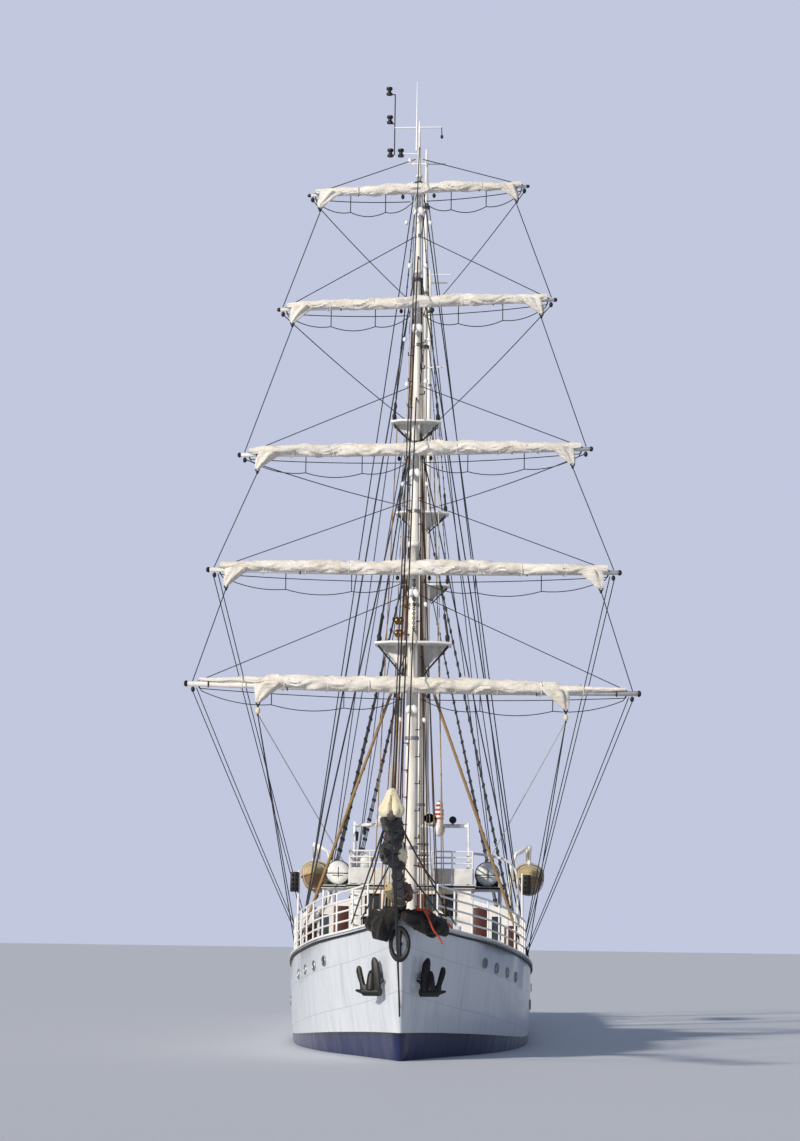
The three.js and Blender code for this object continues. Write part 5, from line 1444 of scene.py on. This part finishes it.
# Deckhouse windows, frames and edges
SILL = 3.99
HEAD = 4.64
EAVE = HOUSE_HALF + 0.12
WING = 2.95
EAVE_HEIGHT = 4.89
front_windows = [(x, 0.46, SILL, HEAD) for x in (-1.2, -0.6, 0, 0.6, 1.2)]
aft_windows = [(x, 0.6, 3.6, 4.3) for x in (-1.0, 0, 1.0)]
side_windows = [(aft, 0.6, SILL, HEAD) for aft in (13.45, 14.25, 15.05)]
side_windows += [(aft, 0.5, 2.6, 3.2) for aft in (18.55, 19.45, 14.85, 15.85)]


def window(place, width, low, high, inside, rim):
    """A pane and its frame's outline. place() turns distances along and through the wall to x and aft."""
    half = width / 2
    near = place(-half - 0.01, inside - 0.012)
    far = place(half + 0.01, inside + 0.012)
    pane = block((*near, low - 0.01), (*far, high + 0.01), 0.004)
    corners = ((-half, low), (half, low), (half, high), (-half, high))
    return pane, [at(*place(along, rim), z) for along, z in corners]


made = []
for spots, aft, out in ((front_windows, HOUSE_FRONT, -1), (aft_windows, HOUSE_AFT, 1)):
    for x, width, low, high in spots:
        made.append(window(lambda along, through: (x + along, through), width, low, high,
                           aft - out * 0.06, aft + out * 0.012))
for _, side in SIDES:
    for aft, width, low, high in side_windows:
        made.append(window(lambda along, through: (through, aft + along), width, low, high,
                           side * (HOUSE_HALF - 0.05), side * (HOUSE_HALF + 0.012)))
panes = [pane for pane, _ in made]
panes += [block((side * 2.55, HOUSE_FRONT + 0.03, 3.22), (side * 2.87, HOUSE_FRONT + 0.05, 3.99), 0.004)
          for _, side in SIDES]
piece("house_window_glass", panes, "ship", GLASS)
frames = strands([outline for _, outline in made], 0.055, 2, cyclic=True)
piece("house_window_frames", [frames], "ship", MAHOGANY)
for label, side in SIDES:
    hinge = side * (HOUSE_HALF - 0.03)
    pane = block((hinge - 0.01, 17.19, 2.99), (hinge + 0.01, 17.56, 3.46), 0.004)
    piece(f"door_pane_{label}", [pane], f"side_door_{label}", GLASS)
    rim = side * (HOUSE_HALF + 0.008)
    edge = [at(rim, aft, z) for aft, z in ((17.2, 3.0), (17.55, 3.0), (17.55, 3.45), (17.2, 3.45))]
    knob = rod(at(side * HOUSE_HALF, 17.66, 2.8), at(side * (HOUSE_HALF + 0.06), 17.66, 2.8), 0.03, sides=10)
    trim = [strands([edge], 0.03, 2, cyclic=True), knob]
    piece(f"door_trim_{label}", trim, f"side_door_{label}", BRONZE)
port_edge = ((EAVE, 12.45), (EAVE, 14.0), (WING, 14.3), (WING, 17.6), (EAVE, 17.9), (EAVE, 20.6))
starboard_edge = [(-x, aft) for x, aft in reversed(port_edge)]
roof_edge = [at(x, aft, EAVE_HEIGHT) for x, aft in (*starboard_edge, *port_edge)]
piece("roof_edge", [strands([roof_edge], 0.07, 2, cyclic=True)], "ship", BLACK)

# Maroon panels and lamps under the bridge wings, a locker on the forecastle and an awning pipe
WING_PANELS = (
    # x inboard and outboard, low, high
    (1.96, 2.42, 2.0, 4.25), (2.95, 3.35, 2.1, 3.7),
)
panels = [block((side * inner, HOUSE_FRONT - 0.03, low), (side * outer, HOUSE_FRONT - 0.005, high), 0.008)
          for inner, outer, low, high in WING_PANELS for _, side in SIDES]
piece("wing_panels", panels, "ship", MAROON)
wing_lamps = [turned(((0, 0), (0, 0.05), (0.09, 0.055), (0.12, 0)), at(side * 2.2, HOUSE_FRONT - 0.03, 3.35),
                     at(side * 2.2, HOUSE_FRONT - 1, 3.35), 12) for _, side in SIDES]
piece("wing_lamps", wing_lamps, "ship", LAMP_GLASS)
locker = [block((-1.5, 4.3, 3.45), (-1.2, 4.75, 4.56), 0.03),
          block((-1.53, 4.27, 4.53), (-1.17, 4.78, 4.6), 0.02)]
piece("deck_locker", locker, "ship", WHITE)
pipe_run = [at(x, 13.9, z) for x, z in (
    (1.94, 5.99), (2.5, 5.93), (2.95, 5.82), (3.18, 5.68), (3.32, 5.46), (3.38, 5.2), (3.4, 4.6), (3.4, 3.6),
    (3.4, 2.6), (3.4, 1.7))]
piece("awning_pipe", [strands([pipe_run], 0.085, 3)], "ship", WHITE)

# Light boxes beside the bridge wings
POLE_X = 3.5
POLE_AFT = 12.0
LENS_ROWS = ((0, 0), (0, 0.035), (0.02, 0.03), (0.03, 0))
for label, side in SIDES:
    x = side * POLE_X
    pole = [rod(at(x, POLE_AFT, 2.0), at(x, POLE_AFT, 5.32), 0.04),
            rod(at(x, POLE_AFT, 3.4), at(side * 3.2, 12.62, 3.6), 0.025, sides=8)]
    piece(f"light_pole_{label}", pole, "ship", WHITE)
    box = [block((x, POLE_AFT - 0.14, 4.66), (side * 3.76, POLE_AFT + 0.14, 5.28), 0.02)]
    piece(f"light_box_{label}", box, "ship", BLACK)
    places = [at(side * across, POLE_AFT - 0.145, 4.76 + 0.14 * i)
              for across in (3.57, 3.69) for i in range(4)]
    lenses = [turned(LENS_ROWS, place, place + AHEAD, 10) for place in places]
    piece(f"light_box_lenses_{label}", lenses, "ship", DARK_GLASS)

# Gantry gear
searchlights = [
    turned(((0, 0), (0, 0.16), (0.05, 0.19), (0.3, 0.17), (0.36, 0.06), (0.36, 0)),
           at(0.55, 12.67, 7.04), at(0.55, 13.67, 7.04), 20),
    rod(at(0.55, 12.85, 6.84), at(0.55, 12.85, 6.94), 0.05, sides=10),
    turned(((0, 0), (0, 0.1), (0.04, 0.12), (0.2, 0.1), (0.22, 0)),
           at(1.3, 12.75, 7.0), at(1.3, 13.75, 7.0), 14),
    rod(at(1.3, 12.85, 6.82), at(1.3, 12.85, 6.95), 0.03, sides=8),
    rod(at(-1.5, 12.85, 6.5), at(-1.5, 12.85, 6.75), 0.05, sides=10),
    rod(at(-1.75, 12.85, 6.6), at(-1.75, 12.85, 6.3), 0.07, 0.05, sides=10),
]
piece("searchlights", searchlights, "ship", BLACK)
stack_rows = ((0, 0), (0, 0.138), (0.31, 0.138), (0.33, 0.09), (0.36, 0.11), (0.5, 0.11), (0.56, 0.06),
              (0.6, 0))
stack = turned(stack_rows, at(0.87, 12.85, 7.02), at(0.87, 12.85, 8.0), 18)
piece("lamp_stack", [stack], "ship", RED_BANDS)
horn_rows = ((0, 0), (0, 0.11), (0.06, 0.06), (0.3, 0.035), (0.34, 0))
horn = [turned(horn_rows, at(-0.4, 12.6, 7.0), at(-0.4, 13.6, 7.0), 14),
        rod(at(-0.4, 12.8, 6.84), at(-0.4, 12.8, 6.98), 0.025, sides=8)]
piece("horn", horn, "ship", GRP)


# Pipe rails, the bridge's weather cloth and the bulwark's cap
BRIDGE_HALF = 1.94
BRIDGE_FRONT = 12.5
BRIDGE_AFT = 16.6
RAIL_POSTS = (2.6, 3.7, 4.8, 5.9, 7.05, 8.2, 9.4, 10.6, 11.3, 12.0)
CLOTH_ROWS = (
    # height, how far the cloth bulges
    (4.97, 0.0), (5.05, 0.8), (5.2, 1.3), (5.34, 1.0), (5.46, 0.1),
)


def pipe_rail(feet, rises, thick):
    """Upright posts on a row of feet, and level pipes between them."""
    runs = [[foot, above(foot, rises[-1])] for foot in feet]
    runs += [[above(foot, rise) for foot in feet] for rise in rises]
    return strands(runs, thick, 3)


def weather_cloth(start, end):
    """Cloth laced along a stretch of rail between two places of x and aft, bellying out between its ties."""
    rings = []
    for share in shares(40):
        x = start[0] + (end[0] - start[0]) * share
        aft = start[1] + (end[1] - start[1]) * share
        belly = 0.02 * abs(math.sin(6 * math.pi * share))
        out_x, out_aft = (0, -1) if start[1] == end[1] else (math.copysign(1, x), 0)
        rings.append([at(x + out_x * (0.03 + belly * bulge), aft + out_aft * (0.03 + belly * bulge), z)
                      for z, bulge in CLOTH_ROWS])
    return thickened(sheet_of(rings, closed=False), 0.012, offset=-1)


bridge_feet = [at(-BRIDGE_HALF, BRIDGE_AFT - 0.82 * i, ROOF) for i in range(5)]
bridge_feet += [at(-BRIDGE_HALF + 0.647 * i, BRIDGE_FRONT + 0.02, ROOF) for i in range(7)]
bridge_feet += [at(BRIDGE_HALF, 13.32 + 0.82 * i, ROOF) for i in range(5)]
pipes = pipe_rail(bridge_feet, (0.68, 0.86, 1.05), 0.052)
rail = piece("bridge_pipe_rail", [pipes], "ship", WHITE)
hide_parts("bridge_rail")
corners = [(-BRIDGE_HALF, BRIDGE_AFT), (-BRIDGE_HALF, BRIDGE_FRONT), (BRIDGE_HALF, BRIDGE_FRONT),
           (BRIDGE_HALF, BRIDGE_AFT)]
cloths = [weather_cloth(start, end) for start, end in zip(corners, corners[1:])]
piece("weather_cloth", cloths, "ship", NETTING, smooth=60)
for label, side in SIDES:
    feet = [at(side * (half_breadth(aft) - 0.08), aft, sheer(aft)) for aft in RAIL_POSTS]
    pipes = pipe_rail(feet, (0.32, 0.6, 0.88, 1.15), 0.055)
    rail = piece(f"forecastle_pipe_rail_{label}", [pipes], "ship", WHITE)
    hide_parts(f"forecastle_rail_{label}")
    cap_stations = [12.4 + 0.5 * i for i in range(63)]
    cap = [at(side * (half_breadth(aft) - 0.06), aft, sheer(aft) + 0.03) for aft in cap_stations]
    piece(f"bulwark_cap_{label}", [moulding(cap, 0.2, 0.06)], "ship", MAHOGANY, smooth=50)


# Life raft drums: two domed shells with a seam between them, straps and a cradle
RAFT_X = 2.43
RAFT_AFT = 15.4
RAFT_HEIGHT = 5.36
RAFT_RADIUS = 0.385
RAFT_LENGTH = 1.3
RAFT_END = (
    # distance from the end, share of the radius
    (0, 0), (0, 0.45), (0.05, 0.78), (0.14, 0.93), (0.26, 1.0), (0.4, 1.0), (0.44, 0.975), (0.48, 1.0),
)
RAFT_SEAM = (
    # share of the radius outboard, distance from the end
    (0.45, 0.0), (0.8, 0.05), (0.95, 0.15), (1.0, 0.28),
)
SADDLES = (-0.36, 0.36)


def life_raft(label, side):
    """A raft's drum on its cradle, with its seam and straps."""
    x = side * RAFT_X
    half = RAFT_LENGTH / 2
    front = RAFT_AFT - half
    rows = [(distance, RAFT_RADIUS * share) for distance, share in RAFT_END]
    lip = [(half - 0.04, RAFT_RADIUS), (half - 0.02, RAFT_RADIUS + 0.02), (half + 0.02, RAFT_RADIUS + 0.02),
           (half + 0.04, RAFT_RADIUS)]
    mirrored = [(RAFT_LENGTH - distance, radius) for distance, radius in reversed(rows)]
    shell = turned(rows + lip + mirrored, at(x, front, RAFT_HEIGHT), at(x, RAFT_AFT, RAFT_HEIGHT), 36)
    drum = piece(f"life_raft_shell_{label}", [shell], "ship", GRP, smooth=50)
    cradle = [block((x - 0.36, RAFT_AFT + step - 0.05, ROOF - 0.01), (x + 0.36, RAFT_AFT + step + 0.05, 5.16))
              for step in SADDLES]
    for reach in (-0.33, 0.33):
        ends = [at(x - reach, RAFT_AFT + step, ROOF + 0.1) for step in (-0.55, 0.55)]
        cradle.append(rod(*ends, 0.03, sides=8))
    piece(f"raft_cradle_{label}", cradle, "ship", BLACK)
    ahead = [(share, distance - half) for share, distance in RAFT_SEAM]
    outboard = ahead + [(share, -step) for share, step in reversed(ahead)]
    around = outboard + [(-share, step) for share, step in reversed(outboard)]
    seam = [at(x + share * RAFT_RADIUS * 1.01, RAFT_AFT + step, RAFT_HEIGHT - 0.03) for share, step in around]
    ties = [strands([seam], 0.03, 2, cyclic=True)]
    ties += [ring(at(x, RAFT_AFT + step, RAFT_HEIGHT), (0, 1, 0), RAFT_RADIUS + 0.005, 0.018, 32, 6)
             for step in (SADDLES[0], 0.0, SADDLES[1])]
    upright = [at(x + 0.02, front - 0.01, RAFT_HEIGHT + z) for z in (0.17, -0.17)]
    level = [at(x + across, front - 0.01, RAFT_HEIGHT - 0.1) for across in (-0.17, 0.17)]
    ties.append(strands([upright, level], 0.02))
    piece(f"raft_straps_{label}", ties, "ship", TARRED)
    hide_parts(f"life_raft_{label}")


for label, side in SIDES:
    life_raft(label, side)


# Boats in the davits, under laced covers
BOAT_X = 4.22
BOAT_AFT = 33.1
BOAT_KEEL = 5.05
BOAT_LENGTH = 4.3
BOAT_ROWS = (
    # share of the length, half-breadth, keel lift, gunwale, cover ridge
    (-0.5, 0.05, 0.42, 0.86, 0.92), (-0.42, 0.3, 0.2, 0.8, 1.0), (-0.25, 0.5, 0.04, 0.76, 1.16),
    (0, 0.57, 0, 0.74, 1.24), (0.25, 0.53, 0.03, 0.75, 1.14), (0.42, 0.44, 0.1, 0.78, 0.98),
    (0.5, 0.34, 0.2, 0.8, 0.86),
)
# Stretches between the rows that run straight, at the boat's ends
STRAIGHT_STRETCHES = (1, 2, 6)
FALLS = (BOAT_AFT - 1.45, BOAT_AFT + 1.35)
FALL_SHIFTS = (-0.07, 0.0, 0.07)
BOAT_WOOD = finish("clinker_planks", "8f6b3d", "5f4524", 0.1, amount=0.6, bump=0.1, stretch=(2, 0.4, 8),
                   Roughness=0.45)


def boat_row(share):
    """The boat's half-breadth, keel, gunwale and ridge on a smooth line through its rows."""
    after = max(next(i for i, row in enumerate(BOAT_ROWS) if row[0] >= share), 1)
    low, high = BOAT_ROWS[after - 1], BOAT_ROWS[after]
    step = (share - low[0]) / (high[0] - low[0])
    eased = step if after in STRAIGHT_STRETCHES else step * step * (3 - 2 * step)
    return [low[k] + (high[k] - low[k]) * eased for k in (1, 2, 3, 4)]


def boat_place(side, out, along, height):
    """A place on a boat: out from its middle, along its length and above its keel."""
    return at(side * BOAT_X + out, BOAT_AFT + along, BOAT_KEEL + height)


def boat_planking(side):
    """The boat's clinker hull, closed at the gunwale."""
    rings = []
    for i in range(61):
        share = -0.5 + i / 60
        half, lift, gunwale, _ = boat_row(share)
        along = share * BOAT_LENGTH
        loop = []
        for k in range(25):
            turn = math.pi * k / 24
            down = abs(math.sin(turn)) ** 0.75
            lap = 1 + 0.02 * (k % 4) / 3
            out = half * math.cos(turn) * (1 - 0.12 * down) * lap
            loop.append(boat_place(side, out, along, gunwale - (gunwale - lift) * down))
        loop.append(boat_place(side, 0, along, gunwale - 0.02))
        rings.append(loop)
    return sheet_of(closed_ends(rings))


def boat_cover(side):
    """The laced cover, arched over its ridge with a skirt below the gunwale."""
    rings = []
    for i in range(61):
        share = -0.5 + i / 60
        half, _, gunwale, ridge = boat_row(share)
        along = share * (BOAT_LENGTH + 0.08)
        rib = 1 - 0.035 * abs(math.sin(math.pi * 7 * (share + 0.5)))
        skirt = gunwale - (0.15 + 0.02 * math.sin(90 * share))
        arch = [boat_place(side, half + 0.03, along, skirt)]
        for k in range(17):
            turn = math.pi * k / 16
            wave = 1 + 0.02 * math.sin(7 * turn + 40 * share)
            out = (half + 0.035) * math.cos(turn) * wave
            rise = (ridge - gunwale + 0.03) * rib * abs(math.sin(turn)) ** 0.8
            arch.append(boat_place(side, out, along, gunwale - 0.02 + rise))
        arch.append(boat_place(side, -half - 0.03, along, skirt))
        rings.append(arch)
    return sheet_of(closed_ends(rings))


def boat_gripes(side):
    """Straps that pass round the boat and its cover."""
    loops = []
    for share in (-0.36, -0.18, 0.0, 0.18, 0.36):
        half, lift, gunwale, ridge = boat_row(share)
        loop = []
        for turn in turns(28):
            up = math.sin(turn)
            tall = (ridge - gunwale + 0.05) if up > 0 else (gunwale - lift + 0.03)
            height = gunwale + tall * math.copysign(abs(up) ** 0.8, up)
            loop.append(boat_place(side, (half + 0.05) * math.cos(turn), share * BOAT_LENGTH, height))
        loops.append(loop)
    return strands(loops, 0.03, cyclic=True)


def rubbing_rope(side):
    """The rope round the boat below its gunwale."""
    run = []
    for way in (1, -1):
        for i in range(31):
            share = way * (i / 30 - 0.5)
            half, _, gunwale, _ = boat_row(share)
            run.append(boat_place(side, way * (half + 0.03), share * BOAT_LENGTH, gunwale - 0.17))
    return strands([run], 0.05, 2, cyclic=True)


for label, side in SIDES:
    planked = piece(f"boat_planking_{label}", [boat_planking(side)], "ship", BOAT_WOOD,
                    smooth=50)
    piece(f"boat_cover_{label}", [boat_cover(side)], "ship", COVER, smooth=60)
    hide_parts(f"boat_{label}")
    piece(f"boat_gripes_{label}", [boat_gripes(side)], "ship", LINE)
    piece(f"boat_rubbing_rope_{label}", [rubbing_rope(side)], "ship", MANILA)
    falls = [[at(side * BOAT_X + shift, aft, 6.85), at(side * BOAT_X + shift * 0.6, aft, 6.2)]
             for aft in FALLS for shift in FALL_SHIFTS]
    piece(f"boat_falls_{label}", [strands(falls, 0.03)], "ship", MANILA)
    blocks = [pulley(at(side * BOAT_X, aft, height), DOWN, 0.12) for aft in FALLS for height in (6.98, 6.4)]
    piece(f"boat_fall_blocks_{label}", blocks, "ship", WHITE)


# Fore-and-aft sails stowed on their booms
STOWED_TO = 0.93
STOWED_TIES = 9
STOWED_STEPS = 120
STOWED = (
    # share of the boom, half-width, sag below the boom's axis, height above it
    (0.0, 0.16, 0.0, 0.95), (0.08, 0.22, 0.02, 0.72), (0.3, 0.26, 0.05, 0.56), (0.6, 0.24, 0.04, 0.46),
    (0.85, 0.18, 0.0, 0.34), (STOWED_TO, 0.1, -0.04, 0.22),
)
TOPPING_LIFTS = {"main": 17.2, "mizzen": 16.2}


def stowed_row(share):
    """Half-width, sag and height of the stowed sail at a share of the boom."""
    after = max(next(i for i, row in enumerate(STOWED) if row[0] >= share), 1)
    low, high = STOWED[after - 1], STOWED[after]
    step = (share - low[0]) / (high[0] - low[0])
    return [low[k] + (high[k] - low[k]) * step for k in (1, 2, 3)]


def boom_sail(number, name, mast, height, length):
    """The sail stowed in folds on its boom, with the gaskets that hold it."""
    start = mast + BOOM_PIVOT + 0.25
    rings = []
    ties = []
    for i in range(STOWED_STEPS + 1):
        share = STOWED_TO * i / STOWED_STEPS
        half, sag, rise = stowed_row(share)
        aft = start + share * (length - 0.3)
        axis = height + 0.24 * share + 0.02
        held = abs(math.sin(math.pi * STOWED_TIES * share / STOWED_TO))
        pinch = 0.82 + 0.18 * held ** 0.6
        loop = []
        for turn in turns(30):
            fold = 1 + 0.7 * crease(turn + 0.5 * math.sin(12 * share), share * length * 0.5, number + 3)
            up = math.sin(turn)
            tall = rise * fold if up > 0 else sag + 0.05
            loop.append(at(half * pinch * math.cos(turn) * fold, aft, axis + tall * (0.9 + 0.1 * held) * up))
        rings.append(loop)
        if i % 13 == 7:
            tie = []
            for turn in turns(16):
                up = math.sin(turn)
                tall = rise * 0.97 if up > 0 else 0.2
                tie.append(at(half * 0.98 * math.cos(turn), aft, axis + tall * up))
            ties.append(tie)
    sail = sheet_of(closed_ends(rings))
    stowed = piece(f"{name}_canvas", [sail], f"{name}_boom", SAIL, smooth=60)
    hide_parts(f"{name}_sail")
    piece(f"{name}_gaskets", [strands(ties, 0.035, cyclic=True)], f"{name}_boom", LINE)


def boom_gear(name, mast, height, length):
    """Irons, topping lift and sheet of a boom. The lift and the sheet are left on no body."""
    body = f"{name}_boom"
    tip = mast + BOOM_PIVOT + length
    irons = [
        turned(((0, 0.06), (0, 0.115), (0.12, 0.115), (0.12, 0.06)), at(0, tip - 0.16, height + 0.235),
               at(0, tip, height + 0.24), 18),
        turned(((0, 0.1), (0, 0.15), (0.1, 0.15), (0.1, 0.1)), at(0, tip - 2.0, height + 0.18),
               at(0, tip - 1.0, height + 0.21), 18),
    ]
    piece(f"{name}_boom_irons", irons, body, BLACK)
    head = at(0, mast + 0.16, TOPPING_LIFTS[name])
    arm = at(0, tip - 0.1, height + 0.36)
    lift = strands([between(head, arm, 14)], 0.034)
    piece(f"{name}_topping_lift", [lift], body, WIRE, bend=(head, arm))
    foot = at(0, tip - 1.9, main_deck(tip - 1.9) + 0.12)
    head = at(0, tip - 1.95, height + 0.05)
    parts = [between(foot + Vector((shift, 0, 0)), head + Vector((shift * 0.6, 0, 0)), 10)
             for shift in (-0.05, 0, 0.05)]
    piece(f"{name}_sheet", [strands(parts, 0.034)], body, MANILA, bend=(foot, head))
    block_on_deck = pulley(above(foot, 0.2), DOWN, 0.12)
    piece(f"{name}_sheet_block", [block_on_deck], "ship", MAHOGANY)


for number, row in enumerate(BOOMS):
    boom_sail(number, *row)
    boom_gear(*row)

# Hoops of the boom sails round their masts
collars = []
for mast, low, high, radius in (
    # mast, lowest and highest hoop, radius
    (MAINMAST, 5.0, 6.6, 0.25),
    (MIZZENMAST, 5.2, 6.6, 0.22),
):
    collars += [ring(at(0, mast, low + (high - low) * share), (0, 0.15, 1), radius, 0.024, 20, 6)
                for share in shares(4)]
piece("mast_hoops", collars, "ship", MAHOGANY)

# Helm and binnacle
helm = [block((-0.29, 36.82, 2.97), (0.29, 37.38, 3.04), 0.015),
        block((-0.29, 36.82, 1.35), (0.29, 37.38, 1.5), 0.02)]
piece("helm_box_trim", helm, "ship", MAHOGANY)
BINNACLE_AFT = 36.2
BINNACLE = (
    # height, radius
    (0, 0), (0, 0.2), (0.08, 0.21), (0.12, 0.15), (0.75, 0.12), (0.82, 0.17), (0.98, 0.18), (1.08, 0.13),
    (1.14, 0),
)
binnacle = turned(BINNACLE, at(0, BINNACLE_AFT, main_deck(BINNACLE_AFT)), at(0, BINNACLE_AFT, 5), 24)
piece("binnacle", [binnacle], "ship", BRONZE)

# Trunk with its skylights and portlights
TRUNK_TOP = 2.55
LIGHTS_AFT = (30.8, 31.7, 32.6)
coaming = block((-1.22, 30.13, TRUNK_TOP - 0.005), (1.22, 33.27, TRUNK_TOP + 0.06), 0.02)
piece("trunk_coaming", [coaming], "ship", MAHOGANY)
outlines = []
glasses = []
for x in (-0.55, 0.55):
    for aft in LIGHTS_AFT:
        outlines.append([at(x + u, aft + v, TRUNK_TOP + 0.09)
                         for u, v in ((-0.3, -0.3), (0.3, -0.3), (0.3, 0.3), (-0.3, 0.3))])
        low = (x - 0.28, aft - 0.28, TRUNK_TOP + 0.05)
        glasses.append(block(low, (x + 0.28, aft + 0.28, TRUNK_TOP + 0.09), 0.01))
for _, side in SIDES:
    for aft in LIGHTS_AFT:
        centre = at(side * 1.15, aft, 2.15)
        outlines.append([centre + Vector((side * 0.006, 0.12 * math.cos(turn), 0.12 * math.sin(turn))) * 0.8
                         for turn in turns(14)])
piece("trunk_frames", [strands(outlines, 0.05, 2, cyclic=True)], "ship", BRONZE)
piece("trunk_glass", glasses, "ship", GLASS)

# Hatch boards, taffrail, life-rings, vents and anchor chain
hatch = [block((-0.52 + 0.21 * i, 28.08, 1.847), (-0.33 + 0.21 * i, 29.15, 1.862), 0.004) for i in range(5)]
piece("hatch_boards", hatch, "hatch_lid", TEAK)
TAFFRAIL_POSTS = (34.6, 36.1, 37.6, 39.1, 40.6, 42.0, 43.2)
feet = [at(half_breadth(aft) - 0.1, aft, sheer(aft)) for aft in TAFFRAIL_POSTS]
feet += [at(0.1 - half_breadth(aft), aft, sheer(aft)) for aft in reversed(TAFFRAIL_POSTS)]
piece("taffrail", [pipe_rail(feet, (0.35, 0.7, 1.02), 0.05)], "ship", WHITE)
life_rings = []
for _, side in SIDES:
    for aft in (35.4, 39.9):
        centre = at(side * (half_breadth(aft) - 0.22), aft, sheer(aft) + 0.55)
        life_rings.append(ring(centre, (1, 0, 0), 0.27, 0.07, 32, 12))
piece("life_rings", life_rings, "ship", ORANGE)
COWL = ((0, 0.1), (0.06, 0.17), (0.1, 0.2), (0.12, 0.2), (0.09, 0.14), (0.02, 0.05), (0.02, 0))
vents = []
for x, aft in ((0.8, 25.6), (-0.8, 25.6), (1.4, 34.2), (-1.4, 34.2), (0.9, 8.3), (-0.9, 8.3)):
    base = sheer(aft) if aft < 12 else main_deck(aft)
    stalk = [at(x, aft + step, base + rise) for step, rise in ((0, 0), (0, 0.7), (-0.04, 0.82), (-0.14, 0.9))]
    vents.append(strands([stalk], 0.22, 4))
    vents.append(turned(COWL, at(x, aft - 0.12, base + 0.89), at(x, aft - 1.0, base + 1.0), 20))
piece("cowl_vents", vents, "ship", WHITE, smooth=50)
links = []
for _, side in SIDES:
    start = at(side * 0.45, 4.84, sheer(5.0) + 0.5)
    end = at(side * 0.6, 3.1, sheer(3.1) + 0.05)
    for i, share in enumerate(shares(21)):
        spot = above(start.lerp(end, share), -0.18 * math.sin(math.pi * share))
        links.append(ring(spot, (1, 0, 0.3) if i % 2 else (0.2, 0, 1), 0.045, 0.018, 10, 5, 1.2))
piece("anchor_chain", links, "ship", BLACK)
windlass_rims = [ring(at(x, 5.2, sheer(5.2) + 0.45), (1, 0, 0), 0.355, 0.035, 28, 8)
                 for x in (-0.55, -0.35, 0.35, 0.55)]
piece("windlass_rims", windlass_rims, "ship", GREY)
